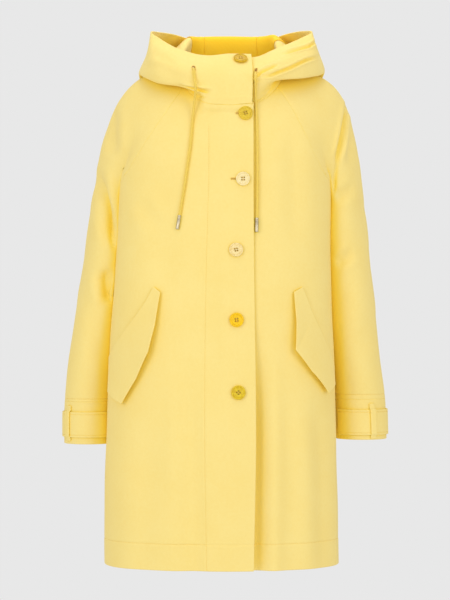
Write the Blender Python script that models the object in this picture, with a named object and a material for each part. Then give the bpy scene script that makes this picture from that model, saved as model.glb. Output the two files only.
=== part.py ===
"""Hooded wool coat, filled out as if worn, with its hood down on the back.

Metres, +Z up, the front faces -Y and the wearer's left is +X. The origin is the middle of the
neck opening, level with the seam under the hood. The hem is level, 0.93 m below it.
Every cloth piece is a thin wall: an outer form worked out below, and the same form moved in.
"""

from math import asin, cos, pi, radians, sin

import bpy
import numpy as np

CLOTH = 0.0026  # wall of the wool
LINING = 0.0010  # wall of the hood's lining
SEAM_BACK = 0.0003  # how far each edge stays back from its seam line
LAYER_GAP = 0.0006  # between layers that lie on each other
RIGHT, LEFT = -1, 1  # the wearer's sides, as signs along X

WOOL = ("wool", (0.962, 0.745, 0.225), 0.9, 0.0)
FACING = ("lining", (0.950, 0.545, 0.030), 0.6, 0.0)
BUTTON = ("button", (0.720, 0.500, 0.070), 0.3, 0.0)
CORD = ("cord", (0.900, 0.600, 0.150), 0.8, 0.0)
METAL = ("metal", (0.560, 0.560, 0.550), 0.3, 1.0)

# The body from the hem to the armholes, a row for each level.
# height, centre, half width, front depth, back depth
BODY = np.array(
    (
        (-0.931, -0.0188, 0.2280, 0.148, 0.148),
        (-0.780, -0.0192, 0.2264, 0.144, 0.144),
        (-0.610, -0.0186, 0.2214, 0.139, 0.139),
        (-0.480, -0.0178, 0.2160, 0.135, 0.135),
        (-0.320, -0.0148, 0.2085, 0.130, 0.131),
        (-0.195, -0.0108, 0.2055, 0.125, 0.128),
    )
)
HEM, ARMHOLE = BODY[0, 0], BODY[-1, 0]
SQUARE = 0.05  # how much fuller than an ellipse a level is between its front and its side

# The seam under the hood, a row for each direction from the front centre round to the back.
# angle, out to the side, forward (-) or back, height, slope of the cloth that runs up to it
NECK = np.array(
    (
        (0, 0.000, -0.100, -0.050, 74),
        (30, 0.052, -0.092, -0.042, 66),
        (60, 0.090, -0.055, -0.008, 40),
        (90, 0.104, 0.010, 0.035, 2),
        (120, 0.090, 0.066, 0.031, 22),
        (150, 0.052, 0.093, 0.019, 48),
        (180, 0.000, 0.101, 0.014, 56),
    )
)
DOME_FULLNESS = 1.1

# Where the raglan seams cross the body, a row for each share of the way from armpit to neck.
# share, front angle, back angle
RAGLAN = np.array(
    (
        (0.00, 90.0, 90.0),
        (0.03, 76.0, 104.0),
        (0.09, 65.0, 115.0),
        (0.20, 58.5, 121.5),
        (0.45, 54.5, 125.5),
        (0.70, 55.5, 124.5),
        (1.00, 59.0, 121.0),
    )
)
# Side seams, a row for each height: the angle at which front and back meet.
SIDE_SEAM = np.array(((-0.931, 71), (-0.610, 78), (-0.320, 86), (-0.195, 90)))

# The sleeves, a row for each height.
# height, outermost reach, how far back the middle lies, half width, half depth
SLEEVES = {
    RIGHT: np.array(
        (
            (-0.235, 0.2755, 0.062, 0.050, 0.080),
            (-0.340, 0.2905, 0.062, 0.050, 0.077),
            (-0.460, 0.3083, 0.060, 0.050, 0.071),
            (-0.570, 0.3240, 0.058, 0.050, 0.064),
            (-0.618, 0.3285, 0.056, 0.049, 0.060),
            (-0.701, 0.3290, 0.055, 0.048, 0.056),
        )
    ),
    LEFT: np.array(
        (
            (-0.235, 0.2625, 0.062, 0.050, 0.080),
            (-0.300, 0.2700, 0.062, 0.051, 0.078),
            (-0.430, 0.2835, 0.060, 0.051, 0.071),
            (-0.538, 0.2943, 0.058, 0.051, 0.064),
            (-0.613, 0.3030, 0.056, 0.050, 0.060),
            (-0.692, 0.3070, 0.055, 0.050, 0.056),
        )
    ),
}
CUFF_SEAM = {RIGHT: -0.618, LEFT: -0.613}
CUFF_HEM = {RIGHT: -0.701, LEFT: -0.692}
SHOULDER_FULLNESS = {RIGHT: 1.30, LEFT: 1.42}
CLEAR_OF_BODY = 0.007  # between the body and the sleeve that hangs against it
TOP_OF_SLEEVE = 40  # degrees of the sleeve, each side of its top, that start at the neck

# Cuff straps and their loops: heights below the cuff seam, and turns round the cuff.
STRAP_TOP, STRAP_TALL = 0.020, 0.050
STRAP_TURN = 150
LOOP_TOP, LOOP_TALL, LOOP_WIDE = 0.008, 0.069, 0.011
LOOP_STEP = 0.0015  # the height in which a loop rises over the strap's edge
LOOP_TURN = {RIGHT: 42, LEFT: 66}  # degrees from the outermost line towards the front

# The front edges, a row for each height: how far left of the middle the overlap ends.
OVERLAP = np.array(((-0.931, 0.0425), (-0.700, 0.0465), (-0.320, 0.0430), (-0.060, 0.0420)))
UNDERLAP_EDGE = -0.012
OVERLAP_LIFT = 0.0050
OVERLAP_FULL, OVERLAP_START = -0.015, -0.036  # where it is fully lifted, and where it starts to

# The hood, folded down, a row for each direction round the neck. It rises from the neck seam to
# a ridge, turns down to a fold that rests over the shoulder or the back, and comes up again on
# the outside, past its belly, to the rim, which is the edge of the face opening. In millimetres.
# angle | ridge: out, back, up | fold: out, back, up | belly: out, back, up | rim: out, back, up
HOOD = {
    RIGHT: np.array(
        (
            (-24, -40, -101, -44, -40, -103, -34, -41, -93, 12, -39, -55, 54.5),
            (0, 0, -103, -45, 0, -105, -34, 0, -95, 14, 0, -58, 54.5),
            (30, 50, -95, -36, 51, -103, -26, 53, -101, 15, 50, -57, 52),
            (45, 72, -74, -16, 72, -99, -19, 78, -100, 20, 78, -48, 58),
            (60, 90, -46, 18, 100, -83, -10, 112, -83, 32, 115, -30, 74.5),
            (75, 97, -18, 45, 138, -60, -2, 148, -53, 43, 141, -12, 92),
            (90, 97, 14, 66, 166, -20, 13, 163, -14, 52, 157, 3, 104.5),
            (105, 93, 40, 80, 177, 36, 21, 166, 46, 60, 141, 35, 108),
            (120, 84, 64, 98, 168, 110, -12, 155, 112, 45, 121, 60, 108),
            (135, 68, 82, 100, 128, 160, -80, 122, 160, 10, 101, 88, 106),
            (150, 48, 92, 101, 74, 176, -130, 74, 190, -25, 66, 116, 98),
            (180, 0, 97, 102, 0, 178, -150, 0, 200, -45, 0, 138, 85),
        )
    ),
    LEFT: np.array(
        (
            (-8, -12, -98, -42, -12, -99, -30, -12, -88, 12, -12, -52, 48),
            (10, 18, -98, -40, 19, -100, -26, 20, -89, 14, 20, -52, 49),
            (27, 46, -91, -35, 50, -98, -3, 52, -85, 26, 50, -50, 51),
            (45, 73, -72, -12, 76, -96, 0, 80, -92, 32, 80, -47, 64),
            (60, 90, -44, 20, 102, -80, 3, 112, -80, 40, 112, -27, 79),
            (75, 97, -18, 45, 138, -58, 7, 147, -52, 48, 138, -8, 92.5),
            (90, 97, 14, 66, 167, -20, 15, 169, -14, 56, 159, 4, 105),
            (105, 94, 40, 86, 178, 36, 24, 171, 44, 64, 140, 36, 110),
            (120, 86, 64, 101, 165, 110, -10, 152, 112, 45, 116, 64, 109),
            (135, 68, 82, 101, 128, 160, -80, 122, 160, 10, 97, 90, 106),
            (150, 48, 92, 101, 74, 176, -130, 74, 190, -25, 66, 116, 98),
            (180, 0, 97, 102, 0, 178, -150, 0, 200, -45, 0, 138, 85),
        )
    ),
}
STRIP_COLUMN = 4  # the back panel's column at which a side of the hood meets the strip between them
LINING_TOP = 4 / 3  # the lining shows up to here: 1 is the hood's ridge

# Pocket flaps, a row from the upper end of the pocket to the lower one.
# angle and height on the seam line, angle and height on the free edge, how far that lifts
FLAPS = {
    RIGHT: np.array(
        (
            (36.0, -0.394, 31.7, -0.404, 0.003),
            (41.0, -0.425, 33.5, -0.470, 0.010),
            (47.5, -0.452, 36.0, -0.518, 0.014),
            (56.0, -0.480, 43.0, -0.570, 0.010),
            (67.0, -0.508, 52.5, -0.618, 0.008),
            (78.0, -0.530, 71.0, -0.597, 0.004),
        )
    ),
    LEFT: np.array(
        (
            (43.0, -0.394, 37.0, -0.404, 0.003),
            (46.5, -0.420, 37.5, -0.462, 0.010),
            (50.0, -0.445, 36.5, -0.515, 0.014),
            (56.0, -0.475, 46.0, -0.555, 0.010),
            (66.0, -0.515, 59.5, -0.597, 0.008),
            (76.0, -0.548, 72.0, -0.583, 0.004),
        )
    ),
}
FLAP_WALL = 0.0030
FLAP_CLEAR = 0.0010

# Buttons, a row for each one from the top: how far left of the middle, and height.
BUTTONS = (
    (0.0180, 0.0420),
    (0.0272, -0.0640),
    (0.0224, -0.1896),
    (0.0091, -0.3243),
    (0.0101, -0.4569),
    (0.0135, -0.5940),
)
BUTTON_ACROSS, BUTTON_THICK = 0.0270, 0.0040
BUTTON_RIM, BUTTON_DISH = 0.0028, 0.0008
BUTTON_CLEAR, TAB_CLEAR = 0.0004, 0.0010  # between a button and the front, or the hood's tab
HOLE_ACROSS, HOLE_OUT = 0.0022, 0.0030
BUTTON_SIDES, HOLE_SIDES = 24, 8
HOLE_PAST = 0.002  # how far the holes' cutters pass both faces

# Drawstring ends, a row for each point of the way down: right or left, forward, height.
CORD_ACROSS = 0.0050
TIP_ACROSS, TIP_LONG = 0.0068, 0.0270
CORDS = {
    RIGHT: (
        (-0.0715, -0.1027, 0.0213),
        (-0.0707, -0.1075, 0.0100),
        (-0.0696, -0.1089, -0.0008),
        (-0.0672, -0.1063, -0.0180),
        (-0.0695, -0.1030, -0.0400),
        (-0.0733, -0.1047, -0.0738),
        (-0.0778, -0.1182, -0.1265),
        (-0.0864, -0.1225, -0.1880),
        (-0.0932, -0.1232, -0.2310),
        (-0.0980, -0.1236, -0.2600),
    ),
    LEFT: (
        (0.0462, -0.0966, 0.0160),
        (0.0465, -0.1012, 0.0010),
        (0.0465, -0.1010, -0.0188),
        (0.0466, -0.1004, -0.0390),
        (0.0482, -0.1048, -0.0620),
        (0.0494, -0.1157, -0.1050),
        (0.0498, -0.1228, -0.1480),
        (0.0497, -0.1253, -0.2090),
        (0.0487, -0.1279, -0.2650),
    ),
}

# How finely the faceted cloth is divided.
BODY_ROWS, PANEL_COLUMNS, BACK_COLUMNS = 9, 9, 16
RAGLAN_STEPS, NECK_STEPS = 8, 4
SHOULDER_ROWS, SLEEVE_ROWS, CUFF_ROWS, STRAP_COLUMNS = 6, 8, 3, 24
HOOD_STEPS = 3
FLAP_ROWS, FLAP_COLUMNS = 9, 5
CROWDING = 1.7  # rows stand closer together towards the armpit, where the raglan seams turn


def through(knots, values, at):
    """Values read from a smooth curve through a table's rows; outside them it stays at its end."""
    knots = np.asarray(knots, float)
    values = np.asarray(values, float)
    at = np.clip(np.asarray(at, float), knots[0], knots[-1])
    slopes = np.gradient(values, knots, axis=0)
    row = np.clip(np.searchsorted(knots, at, "right") - 1, 0, len(knots) - 2)
    span = knots[row + 1] - knots[row]
    u = (at - knots[row]) / span
    if values.ndim > 1:
        u, span = u[..., None], span[..., None]
    start, end = values[row], values[row + 1]
    return (
        start * (1 + 2 * u) * (1 - u) ** 2
        + slopes[row] * span * u * (1 - u) ** 2
        + end * u * u * (3 - 2 * u)
        + slopes[row + 1] * span * u * u * (u - 1)
    )


def ease(value, low, high):
    """0 below low, 1 above high, and a smooth rise between them."""
    u = np.clip((value - low) / (high - low), 0, 1)
    return u * u * (3 - 2 * u)


def unit(vectors):
    return vectors / np.maximum(np.linalg.norm(vectors, axis=-1, keepdims=True), 1e-12)


def bend(start, leaving, end, arriving, u):
    """A smooth curve from start, leaving one way, to end, arriving another."""
    u = np.asarray(u)[..., None]
    return (
        start * (1 + 2 * u) * (1 - u) ** 2
        + leaving * u * (1 - u) ** 2
        + end * u * u * (3 - 2 * u)
        + arriving * u * u * (u - 1)
    )


def level_point(height, angle):
    """A point of the body below the armholes. Angle 0 is the front centre, pi/2 the left side."""
    _, centre, half, front, back = np.moveaxis(through(BODY[:, 0], BODY, height), -1, 0)
    depth = np.where(np.cos(angle) > 0, front, back)
    full = 1 + SQUARE * np.sin(2 * angle) ** 2
    return np.stack(
        [centre + half * full * np.sin(angle), -depth * full * np.cos(angle), height + 0 * angle], -1
    )


def neck_point(angle):
    """A point of the neck seam, and the way that the cloth runs up to it."""
    side = np.where(np.sin(angle) < 0, -1.0, 1.0)
    turn = np.degrees(np.arccos(np.clip(np.cos(angle), -1, 1)))
    _, out, back, up, slope = np.moveaxis(through(NECK[:, 0], NECK, turn), -1, 0)
    point = np.stack([side * out, back, up], -1)
    inward = unit(-point * np.array((1.0, 1.0, 0.0)))
    slope = np.radians(slope)[..., None]
    return point, inward * np.cos(slope) + np.array((0, 0, 1.0)) * np.sin(slope)


def body_point(level, angle):
    """A point of the coat's outer form. Level -1 is the hem, 0 the armholes, 1 the neck seam."""
    level, angle = np.broadcast_arrays(np.asarray(level, float), np.asarray(angle, float))
    height = HEM + (np.clip(level, -1, 0) + 1) * (ARMHOLE - HEM)
    low = level_point(height, angle)
    base = level_point(np.full(angle.shape, ARMHOLE), angle)
    top, arriving = neck_point(angle)
    reach = DOME_FULLNESS * np.linalg.norm(top - base, axis=-1, keepdims=True)
    high = bend(base, np.array((0, 0, 1.0)) * reach, top, arriving * reach, np.clip(level, 0, 1))
    return np.where((level > 0)[..., None], high, low)


def body_normal(level, angle):
    """The outward direction of that form."""
    level, angle = np.broadcast_arrays(np.asarray(level, float), np.asarray(angle, float))
    step = 1e-3
    low, high = np.clip(level - step, -1, 1), np.clip(level + step, -1, 1)
    along = body_point(level, angle + step) - body_point(level, angle - step)
    return unit(np.cross(along, body_point(high, angle) - body_point(low, angle)))


def level_at(height):
    """The level of a height below the armholes."""
    return (height - HEM) / (ARMHOLE - HEM) - 1


def angle_at(level, across):
    """The angle at which the body's front is that far from the middle, found by halving."""
    low, high = -pi / 2, pi / 2
    for _ in range(40):
        middle = (low + high) / 2
        if body_point(level, middle)[0] < across:
            low = middle
        else:
            high = middle
    return low


def material(finish):
    name, colour, roughness, metallic = finish
    if name in bpy.data.materials:
        return bpy.data.materials[name]
    made = bpy.data.materials.new(name)
    made.use_nodes = True
    shader = made.node_tree.nodes["Principled BSDF"]
    shader.inputs["Base Color"].default_value = (*colour, 1)
    shader.inputs["Roughness"].default_value = roughness
    shader.inputs["Metallic"].default_value = metallic
    return made


def add_mesh(name, points, faces, finish):
    """A closed mesh as a named object, with its faces turned out."""
    points = np.asarray(points, float)
    volume = 0.0
    for face in faces:
        for k in range(1, len(face) - 1):
            a, b, c = points[face[0]], points[face[k]], points[face[k + 1]]
            volume += np.dot(a, np.cross(b, c))
    if volume < 0:
        faces = [tuple(reversed(face)) for face in faces]
    mesh = bpy.data.meshes.new(name)
    mesh.from_pydata([tuple(p) for p in points], [], faces)
    mesh.shade_smooth()
    mesh.set_sharp_from_angle(angle=radians(40))
    mesh.materials.append(material(finish))
    made = bpy.data.objects.new(name, mesh)
    bpy.context.scene.collection.objects.link(made)
    return made


def wall(name, outer, outward, thickness=CLOTH, finish=WOOL, tube=False):
    """Cloth as a solid: a grid of outer points, the same grid moved in, and a rim of faces. Each
    face is cut along its shorter diagonal, so that neighbours and layers stay parallel."""
    rows, columns = outer.shape[:2]
    inner = outer - outward * thickness
    points = np.concatenate([outer.reshape(-1, 3), inner.reshape(-1, 3)])
    under = rows * columns
    last = columns if tube else columns - 1

    def halves(a, b, c, d):
        if np.linalg.norm(points[a] - points[c]) < np.linalg.norm(points[b] - points[d]):
            return [(a, b, c), (a, c, d)]
        return [(a, b, d), (b, c, d)]

    faces = []
    for i in range(rows - 1):
        for j in range(last):
            a, b = i * columns + j, i * columns + (j + 1) % columns
            for half in halves(a, b, b + columns, a + columns):
                faces.append(half)
                faces.append(tuple(under + k for k in reversed(half)))
    for j in range(last):
        a, b = j, (j + 1) % columns
        faces += halves(b, a, under + a, under + b)
        a, b = (rows - 1) * columns + a, (rows - 1) * columns + b
        faces += halves(a, b, under + b, under + a)
    if not tube:
        for i in range(rows - 1):
            a, b = i * columns, (i + 1) * columns
            faces += halves(a, b, under + b, under + a)
            a, b = a + columns - 1, b + columns - 1
            faces += halves(b, a, under + a, under + b)
    return add_mesh(name, points, faces, finish)


def hold_back(grid, edges):
    """Moves the named edges of a grid back from their seam lines."""
    grid = grid.copy()
    for edge in edges:
        end, near = {
            "bottom": (grid[0], grid[1]),
            "top": (grid[-1], grid[-2]),
            "start": (grid[:, 0], grid[:, 1]),
            "end": (grid[:, -1], grid[:, -2]),
        }[edge]
        end += unit(near - end) * SEAM_BACK
    return grid


def raglan_shares():
    return np.linspace(0, 1, RAGLAN_STEPS + 1) ** CROWDING


def raglan_angle(share, column):
    return np.radians(through(RAGLAN[:, 0], RAGLAN[:, column], share))


def panel_levels():
    low = np.linspace(-1, 0, BODY_ROWS + 1)
    return np.concatenate([low, raglan_shares()[1:]])


def side_angle(level, column):
    """Where a front or back panel ends: its side seam, then its raglan seam."""
    height = HEM + (min(level, 0) + 1) * (ARMHOLE - HEM)
    if level > 0:
        return float(raglan_angle(level, column))
    return radians(float(through(SIDE_SEAM[:, 0], SIDE_SEAM[:, 1], height)))


def overlap_lift(points):
    """How far the overlapping front stands out, by how far left of the middle it is."""
    return OVERLAP_LIFT * ease(points[..., 0], OVERLAP_START, OVERLAP_FULL)


def front_angles(side, level):
    """The columns of a front panel at one level, from its front edge to its outer seam."""
    height = HEM + (min(level, 0) + 1) * (ARMHOLE - HEM)
    seam = side * side_angle(level, 1)
    if side == LEFT:
        return np.linspace(angle_at(level, UNDERLAP_EDGE), seam, PANEL_COLUMNS + 1)
    edge = float(through(OVERLAP[:, 0], OVERLAP[:, 1], height))
    marks = (edge, (edge + OVERLAP_FULL) / 2, OVERLAP_FULL, OVERLAP_START)
    marked = [angle_at(level, across) for across in marks]
    return np.concatenate([marked, np.linspace(marked[-1], seam, PANEL_COLUMNS - 2)[1:]])


def front_panel(side):
    levels = panel_levels()
    angles = np.array([front_angles(side, level) for level in levels])
    grid_levels = levels[:, None] + 0 * angles
    points, outward = body_point(grid_levels, angles), body_normal(grid_levels, angles)
    if side == RIGHT:
        points = points + outward * overlap_lift(points)[..., None]
    name = "front_right" if side == RIGHT else "front_left"
    return wall(name, hold_back(points, ("top", "end")), outward)


def back_angles(level):
    seam = side_angle(level, 2)
    return np.linspace(seam, 2 * pi - seam, BACK_COLUMNS + 1)


def back_panel():
    levels = panel_levels()
    angles = np.array([back_angles(level) for level in levels])
    grid_levels = levels[:, None] + 0 * angles
    points, outward = body_point(grid_levels, angles), body_normal(grid_levels, angles)
    return wall("back", hold_back(points, ("top", "start", "end")), outward)


def sleeve_start(side):
    """The closed seam that a raglan sleeve starts from: up the front, over the neck, down the back.
    Each row is a level and an angle on the body, and the sleeve's own angle there."""
    up = raglan_shares()
    front, back = raglan_angle(up, 1), raglan_angle(up, 2)
    top = radians(TOP_OF_SLEEVE)
    neck = np.linspace(0, 1, NECK_STEPS + 1)[1:-1]
    level = np.concatenate([up, np.ones(len(neck)), up[::-1][:-1]])
    angle = np.concatenate([front, front[-1] + (back[-1] - front[-1]) * neck, back[::-1][:-1]])
    even = np.linspace(0, 1, RAGLAN_STEPS + 1)
    turn = np.concatenate([pi - (pi - top) * even, top - 2 * top * neck, -top - (pi - top) * even[:-1]])
    return level, side * angle, turn


def sleeve_ring(side, height, turn):
    """A point of the sleeve. Turn 0 is its outermost line, pi/2 its front, pi faces the body."""
    table = SLEEVES[side]
    _, reach, back, half, deep = np.moveaxis(through(table[:, 0][::-1], table[::-1], height), -1, 0)
    return np.stack(
        [side * (reach - half + half * np.cos(turn)), back - deep * np.sin(turn), height + 0 * turn], -1
    )


def clear_of_body(points, clearance):
    """Moves points that are nearer to the body than the clearance, or in it, out to it."""
    points = points.copy()
    low = through(BODY[:, 0], BODY, np.minimum(points[..., 2], ARMHOLE))
    _, centre, half, front, back = np.moveaxis(low, -1, 0)
    depth = np.where(points[..., 1] < 0, front, back)
    across, along = (points[..., 0] - centre) / half, points[..., 1] / depth
    out = np.hypot(across, along)
    turn = np.arctan2(across, along)
    least = 1 + SQUARE * np.sin(2 * turn) ** 2 + clearance / np.minimum(half, depth)
    share = np.where(points[..., 2] < ARMHOLE + 0.02, np.maximum(least / out, 1), 1)
    points[..., 0] = centre + (points[..., 0] - centre) * share
    points[..., 1] = points[..., 1] * share
    return points


def sleeve_points(side, rows):
    """The sleeve's grid, row by row from the raglan seam. Rows up to 1 are the shoulder, from 1
    to 2 the arm down to the cuff seam."""
    level, angle, turn = sleeve_start(side)
    seam, outward = body_point(level, angle), body_normal(level, angle)
    along = unit(np.roll(seam, -1, 0) - np.roll(seam, 1, 0))
    leaving = unit(np.cross(outward, along)) * -side
    first = SLEEVES[side][0, 0]
    ring = clear_of_body(sleeve_ring(side, np.full(turn.shape, first), turn), CLEAR_OF_BODY)
    below = clear_of_body(sleeve_ring(side, np.full(turn.shape, first - 0.01), turn), CLEAR_OF_BODY)
    reach = np.linalg.norm(ring - seam, axis=-1, keepdims=True)
    full = 1 + (SHOULDER_FULLNESS[side] - 1) * ease(reach, 0.10, 0.25)
    grid = []
    for row in rows:
        if row <= 1:
            share = np.full(turn.shape, row)
            points = bend(seam, leaving * reach * full, ring, unit(below - ring) * reach * full, share)
            if row > 0:
                points = clear_of_body(points, CLEAR_OF_BODY * float(ease(row, 0.0, 0.4)))
            grid.append(points)
        else:
            height = np.full(turn.shape, first + (row - 1) * (CUFF_SEAM[side] - first))
            grid.append(clear_of_body(sleeve_ring(side, height, turn), CLEAR_OF_BODY))
    return np.array(grid), outward


def tube_normals(grid, side):
    """Outward directions of a closed tube whose rows run down a sleeve."""
    around = np.roll(grid, -1, 1) - np.roll(grid, 1, 1)
    down = np.gradient(grid, axis=0)
    return unit(np.cross(around, down)) * -side


def sleeve(side):
    shoulder = np.linspace(0, 1, SHOULDER_ROWS + 1)
    rows = np.concatenate([shoulder, 1 + np.linspace(0, 1, SLEEVE_ROWS + 1)[1:]])
    grid, seam_outward = sleeve_points(side, rows)
    outward = tube_normals(grid, side)
    outward[0] = seam_outward
    name = "sleeve_right" if side == RIGHT else "sleeve_left"
    return wall(name, hold_back(grid, ("bottom", "top")), outward, tube=True)


def cuff_grid(side, heights, turns, out):
    """Points round the cuff, moved out from the sleeve's own form."""
    heights, turns = np.meshgrid(heights, turns, indexing="ij")
    points = clear_of_body(sleeve_ring(side, heights, turns), CLEAR_OF_BODY)
    step = 0.01
    ahead = clear_of_body(sleeve_ring(side, heights, turns + step), CLEAR_OF_BODY)
    outward = unit(np.cross(ahead - points, np.array((0, 0, 1.0)))) * -side
    return points + outward * out, outward


def cuff_pieces(side):
    word = "right" if side == RIGHT else "left"
    seam, hem = CUFF_SEAM[side], CUFF_HEM[side]
    turns = sleeve_start(side)[2]
    grid, outward = cuff_grid(side, np.linspace(seam, hem, CUFF_ROWS + 1), turns, 0)
    wall("cuff_" + word, hold_back(grid, ("bottom",)), outward, tube=True)

    strap_out = 2 * LAYER_GAP + CLOTH
    top = seam - STRAP_TOP
    strap_turns = np.radians(np.linspace(-STRAP_TURN, STRAP_TURN, STRAP_COLUMNS + 1))
    grid, outward = cuff_grid(side, np.linspace(top, top - STRAP_TALL, 3), strap_turns, strap_out)
    wall("cuff_strap_" + word, grid, outward)

    loop_top = seam - LOOP_TOP
    half_turn = LOOP_WIDE / 2 / SLEEVES[side][-1, 3]
    loop_turns = radians(LOOP_TURN[side]) + np.linspace(-half_turn, half_turn, 4)
    over, under = top + LAYER_GAP, top - STRAP_TALL - LAYER_GAP
    heights = np.array((loop_top, over + LOOP_STEP, over, under, under - LOOP_STEP, loop_top - LOOP_TALL))
    low = LAYER_GAP + CLOTH
    high = strap_out + LAYER_GAP + CLOTH
    lifts = np.array((low, low, high, high, low, low))
    grid, outward = cuff_grid(side, heights, loop_turns, 0)
    wall("cuff_loop_" + word, grid + outward * lifts[:, None, None], outward)


def hood_point(side, turn, around):
    """A point of the hood: around 0 is the neck seam, 1 the ridge, 2 the fold, 3 the belly, 4 the rim.
    Turn is measured from the front centre towards this side's own shoulder."""
    table = HOOD[side]
    turn, around = np.broadcast_arrays(np.asarray(turn, float), np.asarray(around, float))
    seam, _ = neck_point(turn)
    rows = through(table[:, 0], table[:, 1:] / 1000, np.degrees(turn)).reshape(*turn.shape, 4, 3)
    stations = np.concatenate([seam[..., None, :], rows], -2)
    slopes = np.gradient(stations, axis=-2)
    slopes[..., 1, 2] *= 1 - ease(turn, radians(90), radians(120))
    slopes[..., 2, 2] *= 1 - ease(turn, radians(90), radians(135))
    first = np.clip(around.astype(int), 0, 3)
    u = around - first
    pick = first[..., None, None]
    start, end = (np.take_along_axis(stations, pick + k, -2)[..., 0, :] for k in (0, 1))
    leave, arrive = (np.take_along_axis(slopes, pick + k, -2)[..., 0, :] for k in (0, 1))
    point = bend(start, leave, end, arrive, u)
    if side == RIGHT:
        across = -point[..., 0]
        fade = 1 - 0.5 * ease(around, 3, 4)
        lift = OVERLAP_LIFT * fade * ease(across, OVERLAP_START, OVERLAP_FULL) * (np.cos(turn) > 0)
        point = point + body_normal(1, turn) * lift[..., None]
    return point * np.array((side, 1.0, 1.0))


def hood_normal(side, turn, around):
    """The direction away from the hood's outside, which faces the shoulders and the back."""
    step = 1e-3
    turn, around = np.broadcast_arrays(np.asarray(turn, float), np.asarray(around, float))
    low, high = np.clip(around - step, 0, 4), np.clip(around + step, 0, 4)
    along = hood_point(side, turn + step, around) - hood_point(side, turn - step, around)
    return unit(np.cross(along, hood_point(side, turn, high) - hood_point(side, turn, low))) * side


def hood_turns(side):
    """The columns of a side of the hood, at the same places as those of the pieces under it."""
    front = front_angles(side, 1) * side
    sleeve_top = np.linspace(front[-1], back_angles(1)[0], NECK_STEPS + 1)[1:]
    return np.concatenate([front, sleeve_top, back_angles(1)[1 : STRIP_COLUMN + 1]])


def hood_grid(side, turns, rows):
    turns, rows = np.meshgrid(turns, rows)
    return hood_point(side, turns, rows), hood_normal(side, turns, rows)


def strip_grid(rows):
    """The middle strip and whatever else goes across the back, from the wearer's right to the left."""
    half = back_angles(1)[STRIP_COLUMN : BACK_COLUMNS // 2 + 1]
    right, right_out = hood_grid(RIGHT, half, rows)
    left, left_out = hood_grid(LEFT, half, rows)
    grid = np.concatenate([right, left[:, ::-1][:, 1:]], axis=1)
    outward = np.concatenate([right_out, left_out[:, ::-1][:, 1:]], axis=1)
    middle = len(half) - 1
    outward[:, middle] = unit(right_out[:, -1] + left_out[:, -1])
    return grid, outward


def hood_pieces():
    rows = np.linspace(0, 4, 4 * HOOD_STEPS + 1)
    for side, word in ((RIGHT, "right"), (LEFT, "left")):
        grid, outward = hood_grid(side, hood_turns(side), rows)
        wall("hood_side_" + word, hold_back(grid, ("bottom", "end")), outward)
    grid, outward = strip_grid(rows)
    wall("hood_center", hold_back(grid, ("bottom", "start", "end")), outward)

    rows = np.array((0.08, 1 / 3, 2 / 3, 1.0, LINING_TOP))
    grid, outward = strip_grid(rows)
    turns = back_angles(1)[: STRIP_COLUMN + 1]
    right, right_out = hood_grid(RIGHT, turns, rows)
    left, left_out = hood_grid(LEFT, turns, rows)
    grid = np.concatenate([right[:, :-1], grid, left[:, ::-1][:, 1:]], axis=1)
    outward = np.concatenate([right_out[:, :-1], outward, left_out[:, ::-1][:, 1:]], axis=1)
    wall("hood_lining", grid - outward * (CLOTH + LAYER_GAP), outward, LINING, FACING)


def flap(side):
    """A pocket flap lies on the front panel and lifts towards its free edge."""
    table = FLAPS[side]
    rows = through(np.arange(len(table)), table, np.linspace(0, len(table) - 1, FLAP_ROWS))
    shares = np.linspace(0, 1, FLAP_COLUMNS)
    seam_angle, seam_height, free_angle, free_height, lift = rows.T[:, :, None]
    angle = np.radians(side * (seam_angle + (free_angle - seam_angle) * shares))
    height = seam_height + (free_height - seam_height) * shares
    level = level_at(height)
    points, outward = body_point(level, angle), body_normal(level, angle)
    out = FLAP_WALL + FLAP_CLEAR + lift * shares**1.5
    word = "right" if side == RIGHT else "left"
    return wall("pocket_flap_" + word, points + outward * out[..., None], outward, FLAP_WALL)


def front_place(across, height):
    """A point of the overlapping front's outer face, and its outward direction."""
    if height < ARMHOLE:
        level = level_at(height)
    else:
        low, high = 0.0, 1.0
        for _ in range(30):
            level = (low + high) / 2
            if body_point(level, angle_at(level, across))[2] < height:
                low = level
            else:
                high = level
    angle = angle_at(level, across)
    outward = body_normal(level, angle)
    return body_point(level, angle) + outward * OVERLAP_LIFT, outward


def tab_place(across, height):
    """The same on the hood's overlapping tab, by halving up its outside."""
    turn = -asin(across / NECK[3, 1])
    low, high = 2.0, 4.0
    for _ in range(30):
        around = (low + high) / 2
        if hood_point(RIGHT, turn, around)[2] < height:
            low = around
        else:
            high = around
    return hood_point(RIGHT, turn, around), hood_normal(RIGHT, turn, around)


def frame_of(outward):
    """Two directions across a face, the first as level as it can be."""
    level = unit(np.cross(np.array((0, 0, 1.0)), outward))
    return level, np.cross(outward, level)


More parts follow.
